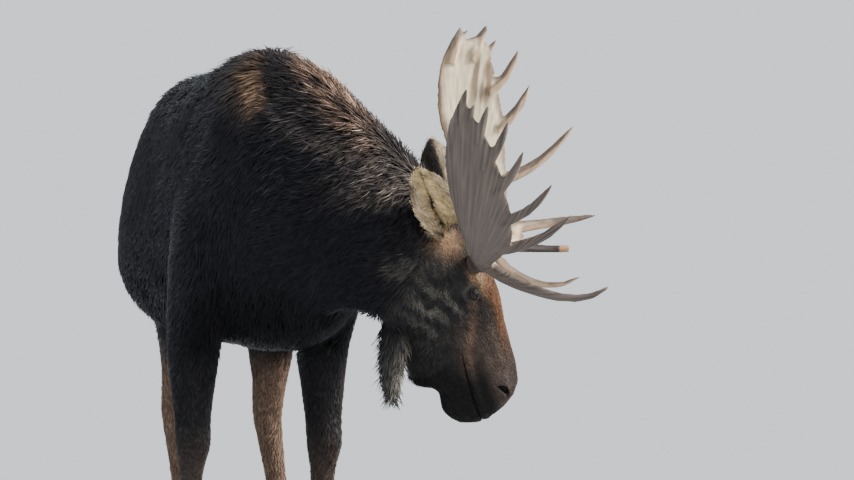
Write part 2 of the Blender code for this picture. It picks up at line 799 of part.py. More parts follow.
def add_foot(end, side, shank):
    """A shank with its two claws and two dewclaws."""
    name = f"{end}_{side}"
    low = [v.co for v in shank.vertices if v.co.z < HOOF_TOP + 0.002]
    x = (min(p.x for p in low) + max(p.x for p in low)) / 2
    y = (min(p.y for p in low) + max(p.y for p in low)) / 2
    fetlock = [v.co for v in shank.vertices if 0.10 < v.co.z < 0.15]
    back = max(p.y for p in fetlock)
    add(f"leg_{name}_shank", shank, "leg")
    for outer, which in ((-1, "a"), (1, "b")):
        add(f"hoof_{name}_{which}", claw_mesh(x, y + 0.032, outer), "hoof", 0.5)
        spur = cut_by(dewclaw_mesh(x, back + 0.004, outer), shank)
        add(f"dewclaw_{name}_{which}", spur, "hoof", 0.5)


def settle():
    """Moves the animal so that the origin is under its middle, on the ground."""
    corners = [v.co for obj in parts.objects for v in obj.data.vertices]
    low = Vector(min(p[i] for p in corners) for i in range(3))
    high = Vector(max(p[i] for p in corners) for i in range(3))
    middle = (low + high) / 2
    for obj in parts.objects:
        obj.data.transform(Matrix.Translation((-middle.x, -middle.y, -low.z)))


def build():
    flesh = whole_flesh()
    for sign in (-1, 1):
        flesh = cut_by(flesh, eye_mesh(sign))
    for side, sign in (("right", -1), ("left", 1)):
        add(f"eye_{side}", eye_mesh(sign), "eye", 0.1)
        add(f"ear_{side}", cut_by(ear_mesh(sign), flesh), "ear")
        antler = cut_by(antler_mesh(side), flesh)
        place = HEAD @ Vector(BROW_CUT_PLACE)
        brow, palm = halves(antler, place, TURN @ Vector(BROW_CUT_NORMAL), 0.0005)
        add(f"antler_{side}_brow", brow, "antler", 0.55)
        add(f"antler_{side}_palm", palm, "antler", 0.55)
    bell = swept_loft("bell", BELL, steps=2, count=12, up=Vector((0.9, -0.4, 0)))
    add("bell", cut_by(bell, flesh), "coat")
    tail = swept_loft("tail", TAIL, steps=2, count=10, up=Vector((0, -1, 0)))
    add("tail", cut_by(tail, flesh), "coat")
    front, rear = halves(flesh, *NECK_PLANE)
    trunk, below = halves(rear, (0, 0, LEG_CUT), (0, 0, 1))
    head, neck = halves(front, HEAD @ Vector(POLL_CUT_PLACE), TURN @ Vector(POLL_CUT_NORMAL))
    add("trunk", trunk, "coat")
    add("neck", neck, "coat")
    add("head", head, "face")
    part_legs(below)
    settle()


clear_scene()
parts = new_collection("moose")
cutters = new_collection("cutters")
build()
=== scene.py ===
import math

import bmesh
import bpy
import numpy as np
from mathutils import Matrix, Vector
from mathutils.bvhtree import BVHTree


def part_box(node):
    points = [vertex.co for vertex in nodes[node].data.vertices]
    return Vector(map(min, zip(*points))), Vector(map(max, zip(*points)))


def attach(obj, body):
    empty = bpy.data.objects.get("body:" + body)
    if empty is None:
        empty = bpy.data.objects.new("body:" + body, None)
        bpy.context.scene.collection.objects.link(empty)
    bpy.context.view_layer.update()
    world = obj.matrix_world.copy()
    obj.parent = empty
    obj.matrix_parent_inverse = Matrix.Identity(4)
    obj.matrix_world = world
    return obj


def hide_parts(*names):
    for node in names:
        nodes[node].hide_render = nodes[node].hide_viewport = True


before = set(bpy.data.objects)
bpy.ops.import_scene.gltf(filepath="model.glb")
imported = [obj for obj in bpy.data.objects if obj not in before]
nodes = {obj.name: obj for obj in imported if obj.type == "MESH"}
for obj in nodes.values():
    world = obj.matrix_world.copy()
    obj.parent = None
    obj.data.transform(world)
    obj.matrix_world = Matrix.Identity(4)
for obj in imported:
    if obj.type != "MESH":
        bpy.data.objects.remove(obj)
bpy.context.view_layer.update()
dice = np.random.default_rng(7)
bpy.ops.object.select_all(action="DESELECT")
print("frame loaded:", len(nodes), "nodes")


# small helpers:

def ease(low, high, value):
    # from nought at low to one at high, with a soft start and end
    t = np.clip((np.asarray(value, dtype=float) - low) / (high - low), 0, 1)
    return t * t * (3 - 2 * t)


def hill(value, middle, width):
    # one at the middle, falling away softly to both sides
    return np.exp(-(((value - middle) / width) ** 2))


def blob(places, centre, radii):
    return np.exp(-np.sum(((places - centre) / radii) ** 2, axis=1))


def unit(rows):
    return rows / np.maximum(np.linalg.norm(rows, axis=-1, keepdims=True), 1e-9)


def boxMiddle(name):
    low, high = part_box(name)
    return (Vector(low) + Vector(high)) / 2


def nodesNamed(*starts):
    return sorted(name for name in nodes if name.startswith(starts))


def depthInBox(places, name):
    # how deep each place lies in a node's box, below zero outside it
    low, high = np.array(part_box(name))
    return np.min(np.minimum(places - low, high - places), axis=1)


def readRows(items, name, width, kind=np.float64):
    # one row of numbers from each item of a mesh
    rows = np.empty(len(items) * width, dtype=kind)
    items.foreach_get(name, rows)
    return rows.reshape(-1, width)


def meshArrays(data):
    # corners, triangles and corner normals of a mesh
    data.calc_loop_triangles()
    triangles = readRows(data.loop_triangles, "vertices", 3, np.int64)
    return readRows(data.vertices, "co", 3), triangles, readRows(data.vertices, "normal", 3)


def softened(rows, triangles, rounds):
    # each corner's row pulled towards its neighbours' rows, round after round
    edges = np.vstack([triangles[:, [0, 1]], triangles[:, [1, 2]], triangles[:, [2, 0]]])
    edges = np.vstack([edges, edges[:, ::-1]])
    count = np.maximum(np.bincount(edges[:, 0], minlength=len(rows)), 1)
    moved = rows.copy()
    for _ in range(rounds):
        for axis in range(rows.shape[1]):
            around = np.bincount(edges[:, 0], moved[edges[:, 1], axis], minlength=len(rows)) / count
            moved[:, axis] = (moved[:, axis] + around) / 2
    return moved


def writeRows(items, name, rows, kind=np.float32):
    items.foreach_set(name, np.ascontiguousarray(rows, dtype=kind).ravel())


def setPlaces(data, places):
    writeRows(data.vertices, "co", places)
    data.update()


def newPiece(name, data):
    piece = bpy.data.objects.new(name, data)
    bpy.context.scene.collection.objects.link(piece)
    return piece


def makeActive(piece):
    bpy.ops.object.select_all(action="DESELECT")
    bpy.context.view_layer.objects.active = piece
    piece.select_set(True)


def applyModifier(piece, kind, **settings):
    modifier = piece.modifiers.new(kind.lower(), kind)
    for key, value in settings.items():
        setattr(modifier, key, value)
    makeActive(piece)
    bpy.ops.object.modifier_apply(modifier=modifier.name)
    piece.select_set(False)


def smoothed(piece, rounds, group=""):
    applyModifier(piece, "SMOOTH", factor=0.5, iterations=rounds, vertex_group=group)


def joinedCopy(name, names, growth, voxel):
    # one new mesh of several solids, each a little larger so that they run together
    joined = bmesh.new()
    for node in names:
        single = bmesh.new()
        single.from_mesh(nodes[node].data)
        bmesh.ops.remove_doubles(single, verts=single.verts, dist=1e-5)
        single.normal_update()
        for vert in single.verts:
            vert.co += vert.normal * growth
        data = bpy.data.meshes.new(node + "Copy")
        single.to_mesh(data)
        single.free()
        joined.from_mesh(data)
        bpy.data.meshes.remove(data)
    whole = bpy.data.meshes.new(name)
    joined.to_mesh(whole)
    joined.free()
    piece = newPiece(name, whole)
    applyModifier(piece, "REMESH", mode="VOXEL", voxel_size=voxel)
    return piece


def weightGroup(piece, name, weights):
    # a vertex group holding one weight for each corner, in ten steps
    group = piece.vertex_groups.new(name=name)
    steps = np.round(np.asarray(weights) * 10).astype(int)
    for step in range(1, 11):
        group.add(np.flatnonzero(steps == step).tolist(), step / 10, "REPLACE")
    return name


def laidOver(colour, palette, shares):
    # named colours laid over a first one, each by its share at each place
    for name, share in shares:
        share = share[:, None]
        colour = colour * (1 - share) + palette[name] * share
    return colour


def paint(data, colours, name):
    layer = data.attributes.new(name, "FLOAT_COLOR", "POINT")
    writeRows(layer.data, "color", np.hstack([colours, np.ones((len(colours), 1))]))


def newMaterial(name, values):
    # a material with some of its values set, and short ways to add nodes and to join them
    made = bpy.data.materials.new(name)
    made.use_nodes = True
    tree = made.node_tree

    def put(node, values):
        for socket, value in values.items():
            node.inputs[socket].default_value = value
        return node

    def add(kind, **values):
        return put(tree.nodes.new("ShaderNode" + kind), values)

    def join(source, output, target, socket):
        tree.links.new(source.outputs[output], target.inputs[socket])

    def joinRange(source, row, target, socket):
        # values between the first two of the row are spread out between its last two
        names = ("From Min", "From Max", "To Min", "To Max")
        spread = add("MapRange", **dict(zip(names, row)))
        join(source, "Fac", spread, "Value")
        join(spread, "Result", target, socket)

    return made, put(tree.nodes["Principled BSDF"], values), add, join, joinRange


def grainMaterial(name, finish):
    # the painted colour made lighter, darker and rougher by fine noise
    made, shader, add, join, joinRange = newMaterial(name, finish["values"])
    colour, place, mixed = add("Attribute"), add("TexCoord"), add("VectorMath")
    colour.attribute_name = finish["painted"]
    mixed.operation = "SCALE"
    grain = add("TexNoise", **finish["grain"])
    if "along" in finish:
        place = add("Attribute")
        place.attribute_name = finish["along"]
    join(place, "Vector" if "along" in finish else "Object", grain, "Vector")
    join(colour, "Color", mixed, 0)
    joinRange(grain, finish["tones"], mixed, "Scale")
    join(mixed, "Vector", shader, "Base Color")
    if "rough" in finish:
        joinRange(grain, finish["rough"], shader, "Roughness")
    if "bump" in finish:
        bump = add("Bump", **finish["bump"])
        join(grain, "Fac", bump, "Height")
        join(bump, "Normal", shader, "Normal")
    return made


# the head's own frame: along the nose, to its left, up through the brow:

headShape = {
    "noseward": (0.357, 0.064, -0.932),
    "eyeAlong": 0.206,
    "eyeUp": 0.034,
}


def headFrame(shape):
    right, left = boxMiddle("eye_right"), boxMiddle("eye_left")
    side = (left - right).normalized()
    nose = Vector(shape["noseward"])
    nose = (nose - side * nose.dot(side)).normalized()
    brow = nose.cross(side)
    origin = (left + right) / 2 - nose * shape["eyeAlong"] - brow * shape["eyeUp"]
    return np.array(origin), np.array((nose, side, brow))


headOrigin, headTurn = headFrame(headShape)


def toHead(places):
    return (places - headOrigin) @ headTurn.T


def fromHead(local):
    return np.asarray(local) @ headTurn + headOrigin


# the skin:

fleshNodes = ["trunk", "neck", "head", "bell", "tail"] + nodesNamed("ear", "leg")
skinShape = {
    "growth": 0.0012,
    "voxel": 0.0055,
    "triangles": 116000,
    "firstSmooth": 5,
    "headSmooth": 8,
    "legSmooth": 16,
    "bodySmooth": 110,
}


def zoneWeights(places):
    # how much each place belongs to the head's front, the ears, the bell and the legs
    x, y, z = toHead(places).T
    head = ease(-0.02, 0.06, x * 0.85 + z * 0.52 + 0.02) * ease(0.3, 0.26, np.abs(y))
    head *= ease(-0.4, -0.33, z)
    ears = np.zeros(len(places))
    for name in ("ear_left", "ear_right"):
        ears = np.maximum(ears, ease(-0.012, 0, depthInBox(places, name)))
    bell = ease(-0.02, 0, depthInBox(places, "bell"))
    legs = ease(0.98, 0.84, places[:, 2]) * (1 - head) * (1 - bell)
    return head, ears, bell, legs


def makeSkin(shape):
    skin = joinedCopy("skin", fleshNodes + nodesNamed("eye"), shape["growth"], shape["voxel"])
    places, _, _ = meshArrays(skin.data)
    head, ears, bell, legs = zoneWeights(places)
    plain = (1 - head) * (1 - ears)
    for key, group in (
        ("firstSmooth", ""),
        ("headSmooth", weightGroup(skin, "thick", 1 - ears)),
        ("legSmooth", weightGroup(skin, "notHead", plain)),
        ("bodySmooth", weightGroup(skin, "bulk", plain * (1 - legs) * (1 - bell))),
    ):
        smoothed(skin, shape[key], group)
    print("  skin remeshed:", len(skin.data.vertices), "corners")
    return skin


skin = makeSkin(skinShape)


def thinSkin(skin, shape):
    # fewer faces on the plain body, all of them kept on the face
    places, triangles, _ = meshArrays(skin.data)
    head, ears, _, _ = zoneWeights(places)
    coarse = weightGroup(skin, "coarse", np.clip(1 - head - 0.7 * ears, 0, 1))
    share = shape["triangles"] / len(triangles)
    applyModifier(skin, "DECIMATE", ratio=share, vertex_group=coarse)
    skin.vertex_groups.clear()


def partWeights(places, triangles):
    # softened share of each kind of solid in every corner of the skin
    corners, faces, owner = [], [], []
    for name in fleshNodes + nodesNamed("eye"):
        solidPlaces, solidFaces, _ = meshArrays(nodes[name].data)
        faces += (solidFaces + len(corners)).tolist()
        corners += solidPlaces.tolist()
        owner += ["head" if name.startswith("eye") else name.split("_")[0]] * len(solidFaces)
    tree = BVHTree.FromPolygons(corners, faces)
    nearest = np.array([owner[tree.find_nearest(place)[2]] for place in places.tolist()])
    weights = {}
    for kind in coatKinds:
        share = (nearest == kind).astype(float)[:, None]
        weights[kind] = softened(share, triangles, 4 if kind == "ear" else 10)[:, 0]
    total = sum(weights.values())
    return {kind: share / total for kind, share in weights.items()}


# lengths and lie of the coat, worked out for every corner of the skin:

# length, width and lift of a tuft, tufts for each square metre, rings of corners in a tuft,
# and the way the hair points
coatKeys = ("length", "width", "lift", "number", "rings", "lie")
coatRows = {
    "trunk": (0.062, 0.0068, 0.2, 11500, 2, (0, 1, -0.34)),
    "neck": (0.066, 0.0048, 0.5, 21500, 3, (-0.41, 0.55, -0.42)),
    "head": (0.018, 0.0026, 0.36, 62000, 2, (-0.357, -0.064, 0.932)),
    "ear": (0.018, 0.0022, 0.26, 44000, 2, (0, 0, 1)),
    "bell": (0.07, 0.0036, 0.34, 30000, 3, (0, 0, -1)),
    "tail": (0.045, 0.0036, 0.3, 26000, 2, (0, 0.2, -1)),
    "leg": (0.026, 0.0034, 0.34, 18000, 2, (0, 0.15, -1)),
}
coatKinds = {kind: dict(zip(coatKeys, row)) for kind, row in coatRows.items()}

neckLow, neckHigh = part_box("neck")
withers = np.array((neckLow[0] + 0.21, neckHigh[1] + 0.17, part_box("trunk")[1][2]))


def coatFields(places, normals, weights):
    # length, width, lift and number of tufts at each place, and how deep the coat is there
    x, _, z = toHead(places).T
    up, height = normals[:, 2], places[:, 2]
    trunk, neck = weights["trunk"], weights["neck"]
    fields = {}
    for key in coatKeys[:4]:
        fields[key] = sum(coatKinds[kind][key] * share for kind, share in weights.items())
    spine = ease(0.45, 0.95, up) * ease(1.45, 1.6, height) * (trunk + neck)
    hump = blob(places, withers, (0.28, 0.34, 0.22)) * (trunk + neck)
    belly = ease(-0.05, -0.55, up) * trunk
    throat = ease(-0.1, -0.2, z) * ease(0.52, 0.42, x) * weights["head"]
    fields["length"] += 0.03 * hump + 0.012 * belly + 0.026 * throat + 0.01 * spine
    fields["lift"] += 0.34 * spine + 0.2 * belly + 0.16 * throat
    depth = 0.38 * fields["length"] * fields["lift"] + 0.15 * fields["width"]
    fields["depth"] = depth * (1 - 0.6 * weights["ear"])
    fields["spine"] = spine
    mane = ease(0.62, 0.48, withers[2] - height) * neck
    fields["uneven"] = 0.08 + 0.52 * mane + 0.3 * hump + 0.2 * weights["bell"]
    return fields


# the face: lids, nostrils and the line of the mouth:

eyeShape = {
    "ball": 0.0205,
    "lid": 0.0026,
    "halfLength": 0.018,
    "upper": 0.0115,
    "lower": 0.009,
    "tilt": math.radians(-14),
    "axis": (0.1, 1, 0.14),
    "sink": 0.012,
    "soft": 0.0035,
}
nostrilShape = {
    "place": (0.56, 0.03),
    "length": 0.025,
    "height": 0.0105,
    "tilt": math.radians(28),
    "depth": 0.011,
    "wing": 0.0036,
    "arch": 14,
}
# lines on the face: places along the nose or up the ear, and the values there
mouthLine = ((0.4, 0.44, 0.507, 0.6, 0.66), (-0.066, -0.072, -0.078, -0.079, -0.079))
earLine = ((0.03, 0.29, 0.42, 0.61, 0.75, 0.92), (0.025, 0.023, 0.014, 0.007, 0, -0.004))
noseLine = ((0.262, 0.329, 0.394, 0.457), (0.026, -0.007, -0.035, -0.064))


def eyeFrame(side):
    # centre of the eyeball and its axes: outwards, along the nose, upwards
    centre = toHead(np.array(boxMiddle("eye_left" if side > 0 else "eye_right")))
    out = unit(np.array(eyeShape["axis"]) * (1, side, 1))
    along = unit((1, 0, 0) - out * out[0])
    return centre, np.array((out, along, np.cross(out, along) * side))


def tilted(along, up, angle):
    # an offset measured along a tilted line and square to it
    cosine, sine = math.cos(angle), math.sin(angle)
    return along * cosine + up * sine, up * cosine - along * sine


def eyeCoordinates(local, side):
    # outwards, away from the middle, along the slit, up from it, and how far inside its rim
    centre, axes = eyeFrame(side)
    away = (local - centre) @ axes.T
    along, up = tilted(away[:, 1], away[:, 2], eyeShape["tilt"])
    height = np.where(up > 0, eyeShape["upper"], eyeShape["lower"])
    rim = height * (1 - (along / eyeShape["halfLength"]) ** 2) - np.abs(up)
    return away[:, 0], np.hypot(away[:, 1], away[:, 2]), along, up, rim


def shapeEye(local, side):
    out, across, along, up, rim = eyeCoordinates(local, side)
    near = (across < 0.05) & (out > -0.01)
    radius = eyeShape["ball"] + eyeShape["lid"]
    dome = np.sqrt(np.maximum(radius**2 - across**2, 0))
    dome = np.where(across < radius, dome, -0.02)
    soft = eyeShape["soft"]
    gap = np.clip(0.5 + 0.5 * (dome - out) / soft, 0, 1)
    covered = out * (1 - gap) + dome * gap + soft * gap * (1 - gap)
    fold = 0.0016 * hill(rim, -0.0075, 0.002) * (across < 0.032)
    pouch = 0.0035 * hill(along, 0.029, 0.007) * hill(up, -0.004, 0.007)
    opened = ease(-0.0002, 0.0016, rim) * eyeShape["sink"]
    moved = np.where(near, covered - fold - pouch - opened - out, 0)
    return local + moved[:, None] * eyeFrame(side)[1][0]


def nostrilReach(local):
    # zero in the middle of a nostril, one at its rim
    away = local[:, [0, 2]] - np.array(nostrilShape["place"])
    along, up = tilted(away[:, 0], away[:, 1], nostrilShape["tilt"])
    up = up + nostrilShape["arch"] * along**2 - 0.002
    return np.hypot(along / nostrilShape["length"], up / nostrilShape["height"])


def mouthOffset(local):
    # height above the line of the mouth, and how much of the line is there
    x, _, z = local.T
    return z - np.interp(x, *mouthLine), ease(0.395, 0.43, x)


def earFrame(side):
    # root and tip of an ear in the head's frame
    root = np.array((-0.035, 0.08 * side, 0.04))
    return root, np.array((-0.29, -0.235, 0) if side < 0 else (-0.285, 0.24, 0.036))


def earFields(local, turned):
    # how far up the ear, how far across it, and how much inside its cup
    fields = np.zeros((3, len(local)))
    for side in (-1, 1):
        root, tip = earFrame(side)
        length = np.linalg.norm(tip - root)
        axis = (tip - root) / length
        outwards = np.array((-0.18, 0.98 * side, 0))
        outwards = unit(outwards - axis * outwards.dot(axis))
        here = np.sign(local[:, 1]) == side
        away = local[here] - root
        fields[0, here] = (away @ axis) / length
        fields[1, here] = away @ np.cross(axis, outwards) * side
        fields[2, here] = ease(0.05, 0.45, turned[here] @ outwards)
    return fields


mouthForms = (  # height, middle and width of the seam and of the lips above and below it
    (-0.0075, 0, 0.0036),
    (0.0045, 0.016, 0.012),
    (0.003, -0.014, 0.012),
)
cheekForms = (  # height, then middle and width along the nose and up: hollow, crest and jaw
    (-0.006, 0.34, 0.06, 0.012, 0.035),
    (0.0035, 0.3, 0.07, -0.045, 0.016),
    (0.004, 0.23, 0.09, -0.175, 0.03),
)


def shapeFace(places, normals, headShare, earShare):
    local = toHead(places)
    turned = normals @ headTurn.T
    along, across, inside = earFields(local, turned)
    cup = hill(across, 0, 0.026) * ease(0.02, 0.25, along) * ease(0.95, 0.6, along)
    fromCleft = across - np.interp(along, *earLine)  # the dark fold across the ear
    hole = hill(along, 0.34, 0.12) * hill(fromCleft, 0, 0.011)
    fold = hill(fromCleft, 0, 0.006) - 0.7 * hill(fromCleft, -0.011, 0.006)
    dent = 0.0035 * cup + 0.007 * hole + 0.0035 * fold * ease(1, 0.8, along)
    local = local - turned * (dent * inside * earShare)[:, None]
    sideways = ease(0.3, 0.7, np.abs(turned[:, 1]))
    reach = nostrilReach(local)
    pit = nostrilShape["depth"] * ease(1.1, 0.3, reach)
    pit -= nostrilShape["wing"] * hill(reach, 1.35, 0.34)
    inwards = np.tile((-0.3, -0.95, 0), (len(places), 1))
    inwards[:, 1] *= np.sign(local[:, 1])
    sunk = (pit * sideways * headShare)[:, None] * inwards
    above, there = mouthOffset(local)
    move = np.zeros(len(places))
    for height, middle, width in mouthForms:
        move += height * hill(above, middle, width) * there
    for height, middle, width, level, breadth in cheekForms:
        move += height * hill(local[:, 0], middle, width) * hill(local[:, 2], level, breadth) * sideways
    local = local + (move * headShare)[:, None] * turned + sunk
    for side in (-1, 1):
        local = shapeEye(local, side)
    return fromHead(local)


refineRounds = (  # reach round an eye, to each side of the mouth, and round a nostril
    (0.044, 0.016, 1.7),
    (0.033, 0.009, 1.3),
    (0.028, 0, 1.2),
)


def refined(skin):
    # finer faces round the eyes, the nostrils and the mouth
    mesh = bmesh.new()
    mesh.from_mesh(skin.data)
    for eyeReach, mouthReach, rim in refineRounds:
        mesh.verts.ensure_lookup_table()
        local = toHead(np.array([vert.co for vert in mesh.verts]))
        above, there = mouthOffset(local)
        near = (np.abs(above) < mouthReach) & (there > 0) | (nostrilReach(local) < rim)
        near &= np.abs(local[:, 1]) < 0.14
        for side in (-1, 1):
            out, across = eyeCoordinates(local, side)[:2]
            near |= (across < eyeReach) & (out > -0.012)
        near &= np.abs(local[:, 1]) < 0.16
        edges = [edge for edge in mesh.edges if all(near[vert.index] for vert in edge.verts)]
        bmesh.ops.subdivide_edges(mesh, edges=edges, cuts=1, use_grid_fill=True)
        bmesh.ops.triangulate(mesh, faces=[face for face in mesh.faces if len(face.verts) > 4])
    mesh.to_mesh(skin.data)
    mesh.free()


thinSkin(skin, skinShape)
refined(skin)
places, triangles, normals = meshArrays(skin.data)
weights = partWeights(places, triangles)
fields = coatFields(places, normals, weights)
places = places - normals * (fields["depth"] + skinShape["growth"])[:, None]
setPlaces(skin.data, places)
places, triangles, normals = meshArrays(skin.data)
setPlaces(skin.data, shapeFace(places, normals, weights["head"], weights["ear"]))
places, triangles, normals = meshArrays(skin.data)
skin.data.shade_smooth()
print("skin shaped:", len(triangles), "faces")


# the skin laid flat, which gives each tuft its place on the flat map:
def layFlat(piece, name):
    makeActive(piece)
    piece.data.uv_layers.new(name=name)
    bpy.ops.object.mode_set(mode="EDIT")
    bpy.ops.mesh.select_all(action="SELECT")
    bpy.ops.uv.smart_project(angle_limit=math.radians(66), island_margin=0.002)
    bpy.ops.object.mode_set(mode="OBJECT")
    piece.select_set(False)
    flat = readRows(piece.data.uv_layers[name].uv, "vector", 2)
    return flat[readRows(piece.data.loop_triangles, "loops", 3, np.int64)]


skinFlat = layFlat(skin, "OFBake")
print("skin laid flat")


# colours of the coat in thousandths, at the root and at the tip of each tuft:
coatColours = {
    # dark: the coat's own near-black, its tips tinted blue as a painted cool sheen of the sky
    "dark": ((4.6, 4.3, 5), (12.4, 12, 15.2)),
    # under: painted shade, laid on the belly's down-facing faces and on the back's upward faces towards
    # the rump
    "under": ((1.8, 1.6, 1.8), (4, 3.6, 4.2)),
    "shoulderGold": ((40, 24, 15), (360, 222, 132)),
    # crest: the mane's pale tips, brightened as painted sunlight on the top of the crest
    "crest": ((9, 6.4, 5.6), (320, 198, 138)),
    "grizzle": ((5, 4.2, 4), (150, 123, 107)),
    "frost": ((18, 16.5, 14.5), (340, 308, 258)),
    "brownLeg": ((70, 44, 30), (220, 142, 98)),
    "muzzle": ((32, 23, 18), (126, 90, 71)),
    "noseSide": ((50, 30, 21), (220, 130, 90)),
    "bridge": ((64, 30, 15), (145, 72, 39)),
    "lip": ((4.5, 3.8, 3.6), (9.5, 8.2, 7.8)),
    "brow": ((140, 80, 44), (340, 220, 135)),
    # earInsideSunlit: the pale hair inside the ear, brightened near white as painted sunlight
    "earInsideSunlit": ((760, 540, 270), (980, 790, 460)),
    "earBack": ((12, 10, 8.5), (36, 30, 26.5)),
    "earRim": ((360, 270, 180), (840, 690, 490)),
    # earShadeAndFlecks: painted shade in the ear's cleft and hole, together with its own dark flecks
    "earShadeAndFlecks": ((14, 10, 7), (40, 28, 18)),
}


def waves(places, size, seed, octaves=3):
    # soft random waves between minus one and one, a few sizes together
    turns = np.random.default_rng(seed)
    total = np.zeros(len(places))
    for octave in range(octaves):
        for _ in range(5):
            way = unit(turns.normal(size=(1, 3)))[0] * 2**octave / size
            total += np.sin(places @ way * 2 * math.pi + turns.uniform(0, 7)) / 2**octave
    return np.clip(total / 3.2, -1, 1)


maneMarks = {
    "way": (0.94, -0.342),  # forwards along the neck, seen from above
    "goldRun": 0.008,
    "goldDrop": 0.126,
    "line": ((0.06, 0.25, 0.436), (0.228, 0.357, 0.459)),
}
faceMarks = {  # middle and radii in the head's frame, alike on both sides
    "cheek": ((0.2, 0, -0.118), (0.112, math.inf, 0.088)),
    "underEye": ((0.264, 0, -0.038), (0.042, math.inf, 0.028)),
    "behindEar": ((0.026, 0.136, -0.128), (0.026, 0.06, 0.058)),
    "brow": ((0.162, 0.09, 0.069), (0.042, 0.045, 0.024)),
    "belowEar": ((0.006, 0.098, 0.016), (0.056, 0.06, 0.042)),
}


def bodyShares(places, normals, weights, quick, fine):
    # how much of each colour a place has, from where it is on the body
    trunk, neck, _, _, bell, _, legs = weights.values()
    body = trunk + neck
    left, back, up = normals.T
    # painted shade: darker on the down-facing faces of the belly, and on the upward faces of the back,
    # where it damps the sky's sheen
    saddle = 0.6 * ease(0.28, 0.58, up) * ease(0, 0.16, places[:, 1])
    shares = {"under": (ease(0.05, -0.55, up) + saddle) * trunk}
    sunSide = ease(0.28, 0.72, left)  # the side that the neck turns towards faces the sun; the pale marks are kept off it, as painted shade there
    # run goes forwards along the neck from the withers, and drop goes down
    away = places - withers
    way = maneMarks["way"]
    run, drop = away[:, :2] @ way, -away[:, 2]
    goldRun = away[:, 1] * way[1] - np.abs(away[:, 0]) * way[0] - maneMarks["goldRun"]
    gold = hill(goldRun, 0, np.where(goldRun > 0, 0.027, 0.054)) * hill(drop, maneMarks["goldDrop"], 0.062)
    shares["shoulderGold"] = np.clip(gold * (1.35 + 0.6 * quick), 0, 1) * body
    # the crest colour lies on the upward faces along the mane's ridge: partly the mane's pale tips, partly
    # painted sunlight
    crest = ease(0.36, 0.8, up) * ease(-0.26, 0.14, left) * (1 - sunSide)
    crest *= ease(0.06, 0.2, run) * ease(0.44, 0.32, run)
    shares["crest"] = body * crest * (0.7 + 0.5 * quick + 0.6 * fine)
    line = np.interp(run, *maneMarks["line"])
    band = hill(drop, line, 0.034) * ease(0.01, 0.08, run)
    fan = 1.3 * hill(run, 0.395, 0.115) * hill(drop, 0.465, 0.06) * ease(0.555, 0.525, drop)
    silver = 0.26 * ease(0.04, 0.12, run) * ease(0.03, -0.03, drop - line)
    mane = np.clip(0.42 * band + 0.46 * fan + silver, 0, 1) * (neck + 0.7 * trunk)
    faded = 0.45 * hill(goldRun, -0.085, 0.06) * hill(drop, 0.12, 0.075) * body
    nape = 0.2 * ease(0.3, 0.75, up) * ease(0.24, 0.36, run) * neck
    mane = (mane + faded) * (1 - 0.8 * sunSide) + nape * (1 - 0.5 * sunSide)
    shares["grizzle"] = np.clip(mane * (0.62 + 0.5 * quick + 0.45 * fine), 0, 1)
    hind = ease(0.25, 0.55, places[:, 1])
    high = 0.62 + 0.34 * hind
    shares["brownLeg"] = legs * ease(high + 0.06, high - 0.16, places[:, 2]) * (0.25 + 0.7 * hind)
    behind, beside = ease(0, 0.8, back), ease(0.35, 0.95, left)
    shares["grizzle"] += legs * (1 - hind) * (0.05 + np.maximum(0.7 * behind, 0.4 * beside))
    fromBell = places - np.array(boxMiddle("bell"))
    faceward = 0.22 + 0.78 * ease(-0.06, 0.01, fromBell[:, :2] @ way)
    shares["frost"] = bell * ease(1.02, 0.84, places[:, 2]) * (0.58 + 0.42 * quick) * faceward
    return shares


def headShares(local, turned, weights, quick, fine):
    # how much of each colour a place has, from where it is on the head
    head, ear, neck = weights["head"], weights["ear"], weights["neck"]
    x, y, z = local[:, 0], np.abs(local[:, 1]), local[:, 2]
    folded = np.stack([x, y, z], axis=1)
    marks = {name: blob(folded, *mark) for name, mark in faceMarks.items()}
    top = ease(0.42, 0.8, turned[:, 2])
    shares = {
        "muzzle": ease(0.24, 0.42, x) * ease(-0.13, -0.04, z) * (0.75 - 0.25 * top) * head,
        "bridge": top * ease(0.53, 0.32, x) * ease(0.08, 0.18, x) * head,
        "lip": ease(0.02, -0.03, z) * ease(0.4, 0.52, x) * head,
    }
    nose = hill(z, np.interp(x, *noseLine), 0.017) * ease(0.17, 0.27, x) * ease(0.52, 0.42, x)
    shares["noseSide"] = head * nose * (0.55 + 0.35 * quick)
    lumps = waves(folded * (0.7, 1, 1.2), 0.052, 6, 2)
    strands = waves(folded * (0.4, 1, 1.6), 0.022, 10, 2)
    patches = ease(-0.7, 1, lumps + 0.6 * strands)
    cheek = 0.5 * (marks["cheek"] + 0.7 * marks["underEye"]) * patches
    frost = head * (cheek + 0.06) * (1 - top)
    frost += marks["behindEar"] * (head + neck) * (0.26 + 0.22 * fine)
    mottled = 1 + 0.22 * waves(folded, 0.014, 13, 2)
    brow = np.clip((1.3 * marks["brow"] + 1.25 * marks["belowEar"]) * mottled, 0, 1)
    shares["brow"] = brow * (1 - ear * 0.5) * (head + ear + 0.4 * neck)
    for side in (-1, 1):
        fromEye = eyeCoordinates(local, side)[1]
        for name in ("brow", "bridge"):
            shares[name] *= ease(0.021, 0.034, fromEye)
        frost += 0.26 * head * hill(fromEye, 0.0275, 0.0055) * (np.sign(local[:, 1]) == side)
    return shares, frost


